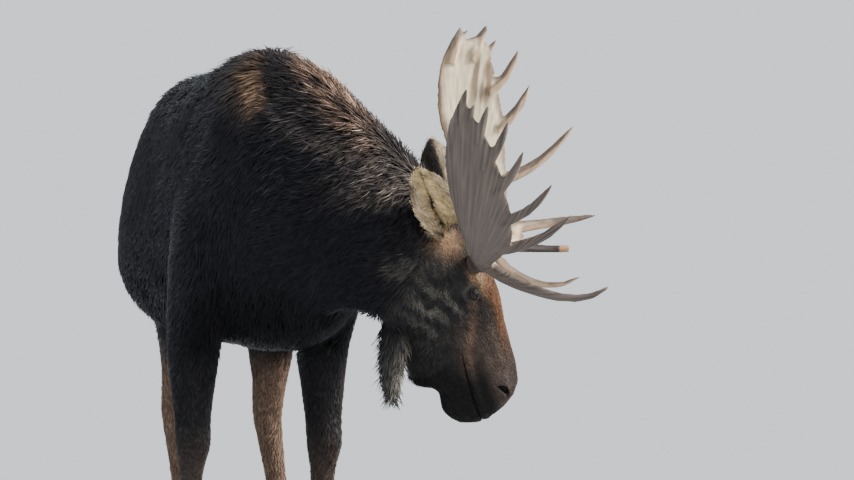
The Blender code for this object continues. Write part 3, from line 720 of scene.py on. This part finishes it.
def earShares(places, local, turned, ear, quick):
    # how much of each colour a place has, from where it is on an ear
    along, across, inside = earFields(local, turned)
    # the inside of the cup takes the near-white colour: the pale hair, partly painted sunlight
    shares = {"earInsideSunlit": ear * inside * (0.8 + 0.2 * quick), "earBack": ear * (1 - inside)}
    front = (1 - inside) * ease(-0.004, -0.02, across) * (0.7 + 0.3 * quick)
    rim = ease(0.03, 0.046, np.abs(across + 0.004)) * (0.1 + 0.65 * inside)
    shares["earRim"] = ear * np.maximum(rim, front * 0.8)
    fromCleft = across - np.interp(along, *earLine)  # the dark fold across the ear
    # the cleft and the hole are darkened as painted shade in the fold; the flecks and the dark edge are
    # the ear's own marks
    cleft = hill(fromCleft, 0, 0.0034) * ease(1, 0.85, along)
    hole = hill(along, 0.34, 0.085) * hill(fromCleft, 0, 0.0085)
    flecks = 0.26 * ease(0.28, 0.08, along)
    flecks += 0.4 * ease(0.15, 0.85, waves(places, 0.017, 9, 2))
    flecks += 0.42 * ease(0.2, 0.9, waves(places, 0.0095, 15, 2))
    edge = ease(0.04, 0.046, across) * ease(0.45, 0.75, along) * 0.7
    shares["earShadeAndFlecks"] = ear * np.clip((1.25 * hole + 0.85 * cleft + flecks) * inside + edge, 0, 1)
    return shares


def coatColour(places, normals, weights):
    # root and tip colour at each place, each colour laid over the ones before it
    local = toHead(places)
    turned = normals @ headTurn.T
    quick = waves(places, 0.07, 5)
    fine = waves(places * (0.5, 0.5, 1), 0.026, 8, 2)
    shares = bodyShares(places, normals, weights, quick, fine)
    faceShares, frost = headShares(local, turned, weights, quick, fine)
    shares["frost"] += frost
    shares |= faceShares | earShares(places, local, turned, weights["ear"], quick)
    shares = {name: np.clip(share, 0, 1) for name, share in shares.items()}
    colours = []
    for end in (0, 1):
        palette = {name: np.array(pair[end]) / 1000 for name, pair in coatColours.items()}
        colours.append(laidOver(palette["dark"], palette, shares.items()))
    return colours


coatFinish = {
    "painted": "coatColour",
    "grain": {"Scale": 38, "Detail": 4},
    "tones": (0.3, 0.7, 0.72, 1.3),
    "rough": (0, 1, 0.38, 0.52),
    "values": {
        "Specular IOR Level": 0.08,
        "Sheen Weight": 0.02,
        "Sheen Roughness": 0.45,
        "Sheen Tint": (0.62, 0.72, 1, 1),
    },
}
skinFinish = {
    "painted": "coatColour",
    "grain": {"Scale": 90, "Detail": 4},
    "tones": (0.3, 0.7, 0.7, 1.25),
    "rough": (0, 1, 0.49, 0.63),
    "values": {"Specular IOR Level": 0.22},
}
coatMaterial = grainMaterial("coatHair", coatFinish)

skinRoot, skinTip = coatColour(places, normals, weights)
bare = {
    "bareNose": (0.011, 0.0095, 0.009),
    "nostril": (0.004, 0.0034, 0.0032),
    "eyelid": (0.006, 0.005, 0.0048),
}


def bareShares(local):
    # the hairless rims: lips, nostrils and lids
    lids = np.zeros(len(local))
    for side in (-1, 1):
        out, across, _, _, rim = eyeCoordinates(local, side)
        lids = np.maximum(lids, ease(-0.0042, -0.0018, rim) * (across < 0.03) * (out > 0))
    pits = ease(1.25, 0.95, nostrilReach(local)) * (np.abs(local[:, 1]) > 0.02)
    above, there = mouthOffset(local)
    seam = ease(0.005, 0.0028, np.abs(above)) * there
    return seam, pits, lids


bareShare = [share * weights["head"] for share in bareShares(toHead(places))]
skinColour = laidOver(skinRoot * 0.6 + skinTip * 0.4, bare, zip(bare, bareShare))
paint(skin.data, skinColour, "coatColour")
skin.data.materials.append(grainMaterial("hide", skinFinish))
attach(skin, "root")
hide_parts(*fleshNodes)
print("skin coloured")


# the coat: solid tufts rooted in the skin, laid over each other along the lie of the hair
def lieOfHair(places, normals, weights):
    x, y, z = toHead(places).T
    turned = normals @ headTurn.T
    chest = ease(withers[1] + 0.2, withers[1] - 0.25, places[:, 1])
    low = ease(1.45, 1.05, places[:, 2])
    steep = ease(0.85, 0.35, normals[:, 2])
    fall = np.maximum(np.maximum(chest * 0.8, low * 0.35), steep * 0.62)[:, None]
    trunk = coatKinds["trunk"]["lie"] * (1 - fall) + (0, 0.25, -1) * fall
    lie = unit(trunk) * weights["trunk"][:, None]
    for kind in ("neck", "bell", "tail", "leg"):
        lie += unit(np.array(coatKinds[kind]["lie"])) * weights[kind][:, None]
    cheek = (ease(0.35, 0.85, np.abs(turned[:, 1])) * ease(0.42, 0.2, x))[:, None]
    under = (ease(-0.06, -0.16, z) * ease(0.5, 0.36, x))[:, None]
    face = unit(((-1, 0, 0.06) + cheek * (0, 0, -0.55)) @ headTurn)
    face = face * (1 - under) + (0, 0.1, -1) * under
    lie += face * weights["head"][:, None]
    for side in (-1, 1):
        root, tip = earFrame(side)
        here = (np.sign(y) == side) * weights["ear"]
        lie += unit((tip - root) @ headTurn) * here[:, None]
    lie = unit(lie - normals * np.sum(lie * normals, axis=1)[:, None])
    swirl = (waves(places, 0.3, 11) * 0.42 + waves(places, 0.06, 12, 2) * 0.22)[:, None]
    return unit(lie * np.cos(swirl) + np.cross(normals, lie) * np.sin(swirl))


skinFields = coatFields(places, normals, weights)
skinFields["root"], skinFields["tip"] = skinRoot, skinTip
skinFields["lie"] = lieOfHair(places, normals, weights)
skinFields["normal"] = normals
skinFields["place"] = places
cornerKinds = np.stack(list(weights.values()), axis=1)
faceKind = np.argmax(cornerKinds[triangles].sum(axis=1), axis=1)
corner = places[triangles]
faceArea = np.linalg.norm(np.cross(corner[:, 1] - corner[:, 0], corner[:, 2] - corner[:, 0]), axis=1) / 2


def picked(roots, chosen):
    return {name: rows if name == "rings" else rows[chosen] for name, rows in roots.items()}


def sowRoots(kind):
    # roots spread evenly over the faces of one part of the body
    chosen = np.flatnonzero(faceKind == list(coatKinds).index(kind))
    density = skinFields["number"][triangles[chosen]].mean(axis=1) * 1
    heap = np.cumsum(faceArea[chosen] * density)
    count = int(heap[-1])
    picks = np.searchsorted(heap, (np.arange(count) + dice.random(count)) / count * heap[-1])
    faces = chosen[np.minimum(picks, len(chosen) - 1)]
    first, second = dice.random(count), dice.random(count)
    flip = first + second > 1
    first[flip], second[flip] = 1 - first[flip], 1 - second[flip]
    shares = np.stack([1 - first - second, first, second], axis=1)
    roots = {}
    for name, rows in skinFields.items():
        rows = rows[triangles[faces]]
        roots[name] = np.sum(rows * (shares if rows.ndim == 2 else shares[:, :, None]), axis=1)
    roots["flat"] = np.sum(skinFlat[faces] * shares[:, :, None], axis=1)
    roots["rings"] = coatKinds[kind]["rings"]
    if kind != "head":
        return roots
    # no hair on the lids, in the nostrils and along the line of the mouth
    local = toHead(roots["place"])
    above, there = mouthOffset(local)
    keep = (nostrilReach(local) > 1.1) | (np.abs(local[:, 1]) < 0.02)
    keep &= ~((np.abs(above) < 0.003) & (there > 0.5))
    for side in (-1, 1):
        out, across, _, _, rim = eyeCoordinates(local, side)
        keep &= ~((across < 0.03) & (out > 0) & (rim > -0.003))
    return picked(roots, keep)


def trimRoots(roots):
    # shorter hair towards the nose, round the eyes and at the feet
    local = toHead(roots["place"])
    short = 1 - 0.48 * ease(0.3, 0.56, local[:, 0]) * (np.abs(local[:, 1]) < 0.2)
    for side in (-1, 1):
        across = eyeCoordinates(local, side)[1]
        short = np.minimum(short, 0.42 + 0.58 * ease(0.02, 0.05, across))
    short *= 0.45 + 0.55 * ease(0.09, 0.2, roots["place"][:, 2])
    roots["length"] *= short
    roots["width"] *= 0.35 + 0.65 * short


tuftShape = {
    "sunk": 0.035,
    "taper": (0.75, 1, 0.72),
    "thickness": 0.35,
    "lengthSpread": 0.28,
    "liftSpread": 0.3,
    "widthSpread": 0.25,
    "strayAngle": 0.2,
    "curl": 0.08,
    "patch": 0.003,
    "sleek": 0.62,
    "lowest": -0.35,
}


def tuftCorners(roots, shape):
    # rings of three corners along a bent line, and one corner at the tip
    count = len(roots["place"])

    def uneven(name, share):
        return (roots[name] * (1 + share * dice.uniform(-1, 1, count)))[:, None]

    length = uneven("length", shape["lengthSpread"])
    stray = dice.normal(0, shape["strayAngle"], count)[:, None]
    normal = unit(roots["normal"])
    lie = unit(roots["lie"] - normal * np.sum(roots["lie"] * normal, axis=1)[:, None])
    across = np.cross(normal, lie)
    cosine, sine = np.cos(stray), np.sin(stray)
    lie, across = lie * cosine + across * sine, across * cosine - lie * sine
    lift = uneven("lift", shape["liftSpread"])
    phase = dice.uniform(-1.2, 1.2, count)[:, None]
    curl = shape["curl"] * (1 + 1.5 * roots["spine"])[:, None]
    width = uneven("width", shape["widthSpread"])
    steps = np.linspace(0, 1, roots["rings"] + 1)
    corners = []
    for index, t in enumerate(steps):
        bend = curl * (np.sin(math.pi * t + phase) - np.sin(phase))
        rise = lift * (t - 0.6 * t * t) - shape["sunk"]
        centre = roots["place"] + length * (lie * t + normal * rise + across * bend)
        if index == len(steps) - 1:
            corners.append(centre)
            continue
        wide = width * shape["taper"][index]
        corners += [centre - across * wide / 2, centre + across * wide / 2]
        corners.append(centre + normal * shape["thickness"] * wide)
    return np.stack(corners, axis=1), steps


def tuftFaces(rings):
    # corner numbers of each face of one tuft, and the places of its loops on the patch
    faces = [(0, 2, 1)]
    flat = [(0.05, -0.3), (0.35, -0.05), (0.65, -0.3)]
    for ring in range(rings):
        low, high, start = ring / rings, (ring + 1) / rings, 3 * ring
        for strip, (first, second) in enumerate(((0, 1), (1, 2), (2, 0))):
            left, right = strip / 3, (strip + 0.9) / 3
            if ring < rings - 1:
                faces.append((start + first, start + second, start + 3 + second, start + 3 + first))
                flat += [(left, low), (right, low), (right, high), (left, high)]
            else:
                faces.append((start + first, start + second, start + 3))
                flat += [(left, low), (right, low), ((left + right) / 2, high)]
    return faces, np.array(flat)


def makeCoat(name, roots):
    # one mesh of many tufts
    corners, steps = tuftCorners(roots, tuftShape)
    count, size = corners.shape[:2]
    faces, flat = tuftFaces(roots["rings"])
    loopCorners = np.concatenate(faces)
    sides = np.array([len(face) for face in faces])
    data = bpy.data.meshes.new(name)
    data.vertices.add(count * size)
    writeRows(data.vertices, "co", corners)
    allLoops = (np.arange(count)[:, None] * size + loopCorners).ravel()
    data.loops.add(len(allLoops))
    writeRows(data.loops, "vertex_index", allLoops, np.int32)
    starts = np.cumsum(sides) - sides
    allStarts = (np.arange(count)[:, None] * len(loopCorners) + starts).ravel()
    data.polygons.add(len(allStarts))
    writeRows(data.polygons, "loop_start", allStarts, np.int32)
    layer = data.uv_layers.new(name="OFBake")
    spread = roots["flat"][:, None, :] + (flat - 0.5) * tuftShape["patch"]
    writeRows(layer.uv, "vector", np.clip(spread, 0, 1))
    data.update(calc_edges=True)
    data.validate()
    rise = np.append(np.repeat(steps[:-1], 3), 1)[None, :, None] ** 0.8
    tone = np.exp(dice.normal(0, 0.2, count))[:, None, None]
    glint = np.exp(dice.normal(0, 1, count) * roots["uneven"])[:, None]
    tips = np.minimum(roots["tip"] * glint, 0.85)
    colour = roots["root"][:, None, :] * (1 - rise) + tips[:, None, :] * rise
    paint(data, np.minimum(colour * tone, 0.85).reshape(-1, 3), "coatColour")
    data.materials.append(coatMaterial)
    piece = newPiece(name, data)
    data.shade_smooth()
    # the light falls on the coat as one soft surface more than on each tuft
    own = readRows(data.vertices, "normal", 3)[allLoops]
    faceNormals = np.repeat(readRows(data.polygons, "normal", 3), np.tile(sides, count), axis=0)
    soft = unit(roots["normal"])
    soft[:, 2] = np.maximum(soft[:, 2], tuftShape["lowest"])
    soft = unit(soft)[allLoops // size] * tuftShape["sleek"]
    soft = unit(soft + own * (1 - tuftShape["sleek"]))
    facing = np.sum(soft * faceNormals, axis=1)
    soft = unit(soft + faceNormals * np.maximum(0.12 - facing, 0)[:, None] * 1.2)
    data.normals_split_custom_set(soft)
    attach(piece, "root")
    return count * (sides - 2).sum()


coatPieces = {
    "trunk": (("coat_shoulder", "coat_flank", "coat_rump"), (0, 1, 0), "coat"),
    "neck": (("coat_neck_right", "coat_neck_left"), (1, 0, 0), "coat"),
    "head": (("coat_face_right", "coat_face_left"), (0.36, 0.93, 0), "face"),
    "ear": (("coat_ears",), (1, 0, 0), "ear"),
    "bell": (("coat_bell",), (1, 0, 0), "coat"),
    "tail": (("coat_tail",), (1, 0, 0), "coat"),
    "leg": (("coat_legs_fore", "coat_legs_hind"), (0, 1, 0), "lower_leg"),
}
for kind, (names, way, slot) in coatPieces.items():
    roots = sowRoots(kind)
    trimRoots(roots)
    order = np.argsort(np.argsort(roots["place"] @ way, kind="stable"), kind="stable")
    group = order * len(names) // len(order)
    for number, name in enumerate(names):
        made = makeCoat(name, picked(roots, group == number))
        print("  ", name, made, "triangles")
print("coat made")


# antlers of bone, grooved along their growth:
antlerShape = {
    "voxel": 0.0035,
    "smooth": 6,
    "groove": 0.0006,
    "pearl": 0.001,
    "burr": (0.085, 0.1, 0.075),  # these three places are in the head's frame
    "stain": (-0.38, 0.5, 0.25),
    "sawnEnd": (0.229, 0.295, 0.351),
}
antlerColours = {
    # cream: the pale inner bone, brightened as painted sunlight on it
    "cream": (0.94, 0.8, 0.56),
    "stain": (0.19, 0.125, 0.08),
    # shade: the darker outer bone, partly painted shade
    "shade": (0.12, 0.09, 0.074),
    "burr": (0.04, 0.03, 0.025),
    "tine": (0.4, 0.235, 0.135),
    "back": (0.11, 0.08, 0.062),
    "tip": (0.2, 0.15, 0.115),
    "bark": (0.032, 0.021, 0.017),
    "cut": (0.46, 0.245, 0.13),
}
boneFinish = {
    "painted": "boneColour",
    "along": "growth",
    "grain": {"Scale": 1, "Detail": 5},
    "tones": (0.3, 0.7, 0.74, 1.18),
    "rough": (0, 1, 0.42, 0.68),
    "bump": {"Strength": 0.35, "Distance": 0.002},
    "values": {"Specular IOR Level": 0.45},
}
boneMaterial = grainMaterial("antlerBone", boneFinish)


def makeAntler(word, side, shape):
    names = nodesNamed("antler_" + word)
    burrPlace, stainPlace, sawnEnd = (
        fromHead(np.array(shape[key]) * (1, side, 1)) for key in ("burr", "stain", "sawnEnd")
    )
    piece = joinedCopy("horns_" + word, names, 0.0006, shape["voxel"])
    smoothed(piece, shape["smooth"])
    places, triangles, normals = meshArrays(piece.data)
    away = places - burrPlace
    reach = np.linalg.norm(away, axis=1)
    palm = away[reach > 0.25]
    plane = np.linalg.svd(palm[::7] - palm.mean(axis=0), full_matrices=False)[2][:2]
    middle = plane @ palm.mean(axis=0)
    flat = away @ plane.T
    fan = np.arctan2(flat[:, 1] * middle[0] - flat[:, 0] * middle[1], flat @ middle)
    ways = np.stack([fan, 0.1 * reach, 0.1 * away @ np.cross(plane[0], plane[1])], axis=1)
    point = np.linalg.norm(softened(places, triangles, 60) - places, axis=1)
    # grooves and stains run outwards from the burr, in the plane of the palm
    lines = waves(ways, 0.3, 21, 2) + 0.1 * waves(places, 0.2, 22, 2)
    grooves = np.abs(np.sin(9 * lines)) ** 0.6 - 0.5
    burr = ease(0.16, 0.07, reach)
    pearls = waves(places, 0.016, 23, 2)
    move = shape["groove"] * grooves * (1 - burr) + shape["pearl"] * pearls * (0.12 + 2.3 * burr)
    setPlaces(piece.data, places + normals * move[:, None])
    # the inner faces, and the rims turned towards the sun on the animal's left, are pale cream, partly the
    # bone's own colour and partly painted sunlight; the outer faces take the dark shade colour, partly
    # darker outer bone and partly painted shade
    innerAndSunward = ease(-0.25, 0.25, 0.4 * normals[:, 0] - side * normals @ headTurn[1])
    veins = waves(ways, 0.045, 25, 2)
    blots = waves(places, 0.16, 24)
    patch = np.clip(1.7 * blob(places, stainPlace, (0.045, 0.09, 0.1)), 0, 1)
    stained = ease(-0.35, 0.45, veins + 0.4 * blots + 0.5 * (patch - 0.5)) * (0.1 + 0.8 * patch)
    thin = softened(ease(0.0014, 0.003, point)[:, None], triangles, 14)[:, 0]
    # rims facing the sun keep the pale cream: painted sunlight on them
    thin *= 1 - 0.8 * ease(0.45, 0.85, normals[:, 0])
    # the tines' upper faces take the dark back colour as painted shade, while their undersides stay pale
    above = ease(-0.35, 0.25, normals[:, 2])
    # only the left antler has the broken tine, with a weathered rim beyond it
    fromEnd = places - sawnEnd
    broken = float(side > 0)
    x, _, z = fromEnd.T
    stub = ease(0.03, 0.018, np.abs(z)) * ease(-0.19, -0.13, x) * broken
    level = ease(0.055, 0.085, z) * ease(0.155, 0.13, z)
    weathered = level * ease(-0.05, 0.02, x) * broken
    warm = ease(0.015, 0.035, z) * ease(0.155, 0.12, z) * broken
    warm *= ease(-0.27, -0.21, x) * ease(0.02, -0.08, x)
    shares = (
        ("stain", stained),
        ("tine", warm * 0.5),
        ("tine", thin * 0.8),
        ("back", thin * above * 0.9),
        ("shade", 1 - innerAndSunward),
        ("tip", ease(0.005, 0.0072, point) * 0.6),
        ("back", weathered * 0.85),
        ("bark", stub),
        ("cut", stub * ease(-0.022, -0.01, x + 0.006 * pearls)),
        ("burr", burr * 0.9),
    )
    colour = laidOver(antlerColours["cream"], antlerColours, shares)
    threads = waves(ways, 0.026, 26, 2)
    streaky = 0.12 * grooves + 0.08 * veins
    streaky += ((0.15 + 0.3 * thin) * threads - 0.16 * thin) * (1 - innerAndSunward)
    colour = np.clip(colour * (0.97 + streaky)[:, None], 0, 0.95)
    paint(piece.data, colour, "boneColour")
    # the grain is drawn out along the growth: fine across it, long along it
    layer = piece.data.attributes.new("growth", "FLOAT_VECTOR", "POINT")
    writeRows(layer.data, "vector", ways * (45, 130, 130))
    piece.data.materials.append(boneMaterial)
    piece.data.shade_smooth()
    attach(piece, "root")
    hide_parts(*names)
    print("  antler", word, len(triangles), "triangles")


makeAntler("right", -1, antlerShape)
makeAntler("left", 1, antlerShape)
print("antlers made")


# eyes: a wet dark ball with a wide brown iris and a level pupil
ballShape = {
    "segments": 96,
    "rings": 64,
    "irisReach": 0.0125,
    "cornea": 0.0022,
    "pupilLong": 0.0072,
    "pupilHigh": 0.0034,
}
eyeColours = {
    "white": (0.06, 0.045, 0.038),
    "irisRim": (0.006, 0.004, 0.003),
    "iris": (0.017, 0.01, 0.007),
    "pupil": (0.0015, 0.0013, 0.0016),
}


eyeFinish = {
    "painted": "eyeColour",
    "grain": {"Scale": 700},
    "tones": (0, 1, 0.7, 1.3),
    "values": {
        "Roughness": 0.22,
        "Specular IOR Level": 0.18,
        "Coat Weight": 0.28,
        "Coat Roughness": 0.03,
    },
}
eyeMaterial = grainMaterial("eyeGloss", eyeFinish)


def makeEye(word, side, shape):
    centre, axes = eyeFrame(side)
    bpy.ops.mesh.primitive_uv_sphere_add(
        segments=shape["segments"],
        ring_count=shape["rings"],
        radius=eyeShape["ball"],
        location=Vector(fromHead(centre)),
    )
    ball = bpy.context.object
    ball.name = "eyeball_" + word
    bpy.ops.object.transform_apply(location=True, rotation=True, scale=True)
    places, _, _ = meshArrays(ball.data)
    away = (toHead(places) - centre) @ axes.T
    across = np.hypot(away[:, 1], away[:, 2])
    front = away[:, 0] > 0
    reach = shape["irisReach"]
    away[:, 0] += shape["cornea"] * ease(reach * 1.15, 0, across) * front
    setPlaces(ball.data, fromHead(away @ axes + centre))
    pupil = np.hypot(away[:, 1] / shape["pupilLong"], away[:, 2] / shape["pupilHigh"])
    shares = (
        ("irisRim", ease(reach * 1.25, reach, across) * front),
        ("iris", ease(reach, reach * 0.8, across) * front),
        ("pupil", ease(1.12, 0.92, pupil) * front),
    )
    colour = laidOver(eyeColours["white"], eyeColours, shares)
    paint(ball.data, colour, "eyeColour")
    ball.data.materials.append(eyeMaterial)
    ball.data.shade_smooth()
    ball.select_set(False)
    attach(ball, "root")
    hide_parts("eye_" + word)


makeEye("right", -1, ballShape)
makeEye("left", 1, ballShape)
print("eyes made")


# hooves and dewclaws of dark horn, with rings of growth:
hoofShape = {
    "voxel": 0.0036,
    "smooth": 7,
    "ring": 0.0006,
    "ringStep": 0.0075,
}


hornShades = (  # where each shade of the streaks lies, and its colour
    (0.3, (0.008, 0.007, 0.006, 1)),
    (0.75, (0.055, 0.042, 0.032, 1)),
)


def hornMaterial():
    made, shader, add, join, joinRange = newMaterial("hoofHorn", {"Specular IOR Level": 0.16})
    stretch = add("Mapping", Scale=(60, 60, 9))
    streaks = add("TexNoise", Scale=2, Detail=5)
    ramp = add("ValToRGB")
    for element, (position, colour) in zip(ramp.color_ramp.elements, hornShades):
        element.position, element.color = position, colour
    join(add("TexCoord"), "Object", stretch, "Vector")
    join(stretch, "Vector", streaks, "Vector")
    join(streaks, "Fac", ramp, "Fac")
    join(ramp, "Color", shader, "Base Color")
    joinRange(streaks, (0, 1, 0.42, 0.75), shader, "Roughness")
    return made


def makeHooves(shape):
    names = nodesNamed("hoof", "dewclaw")
    hooves = joinedCopy("hooves", names, 0, shape["voxel"])
    smoothed(hooves, shape["smooth"])
    places, triangles, normals = meshArrays(hooves.data)
    rings = np.sin(places[:, 2] / shape["ringStep"] * 2 * math.pi + 1.5 * waves(places, 0.09, 31))
    low = ease(0.004, 0.014, places[:, 2])
    places = places + normals * (shape["ring"] * rings * low)[:, None]
    places[:, 2] = np.maximum(places[:, 2], 0)
    setPlaces(hooves.data, places)
    hooves.data.materials.append(hornMaterial())
    hooves.data.shade_smooth()
    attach(hooves, "root")
    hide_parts(*names)
    print("hooves made:", len(triangles), "triangles")


makeHooves(hoofShape)


# floor, light and camera:

stageShape = {
    "floor": 500,
    "skyColour": (0.9, 0.95, 1),
    "sky": 1.12,
    "sun": 6.8,
    "sunColour": (1, 0.93, 0.84),
    "sunFrom": (0.75, -0.45, 0.48),
    "sunWidth": math.radians(20),
}
cameraShape = {
    "aim": (0.147, -0.271, 1.61),
    "azimuth": math.radians(-20),
    "distance": 30,
    "pitch": math.radians(0.626),
    "lens": 366.7,
}


def makeFloor(shape):
    bpy.ops.mesh.primitive_plane_add(size=shape["floor"], location=(0, 0, 0))
    floor = bpy.context.object
    floor.name = "floor"
    # the floor sends back as much light as the sky, so that no edge shows between them
    sky = np.array(shape["skyColour"]) * shape["sky"]
    steep = shape["sunFrom"][2] / np.linalg.norm(shape["sunFrom"])
    sun = np.array(shape["sunColour"]) * shape["sun"] * steep / math.pi
    values = {"Base Color": (*sky / (sky + sun), 1), "Roughness": 0.9, "Specular IOR Level": 0}
    floor.data.materials.append(newMaterial("floorPaint", values)[0])


def makeSun(shape):
    # one wide, soft light from the animal's left, ahead of it and above
    lamp = bpy.data.lights.new("softSun", "SUN")
    lamp.energy = shape["sun"]
    lamp.color = shape["sunColour"]
    lamp.angle = shape["sunWidth"]
    holder = newPiece("softSun", lamp)
    holder.rotation_euler = Vector(shape["sunFrom"]).to_track_quat("Z", "Y").to_euler()


def makeSky(shape):
    world = bpy.data.worlds.new("softSky")
    world.use_nodes = True
    light = world.node_tree.nodes["Background"]
    light.inputs["Color"].default_value = (*shape["skyColour"], 1)
    light.inputs["Strength"].default_value = shape["sky"]
    bpy.context.scene.world = world


def makeCamera(shape):
    turn = shape["azimuth"]
    ahead = Vector((-math.sin(turn), math.cos(turn), 0))
    lens = bpy.data.cameras.new("view")
    lens.lens = shape["lens"]
    lens.clip_end = 900
    camera = newPiece("view", lens)
    camera.location = Vector(shape["aim"]) - ahead * shape["distance"]
    camera.rotation_euler = (math.pi / 2 - shape["pitch"], 0, turn)
    bpy.context.scene.camera = camera


makeFloor(stageShape)
makeSky(stageShape)
makeSun(stageShape)
makeCamera(cameraShape)
print("stage ready")


print("done")
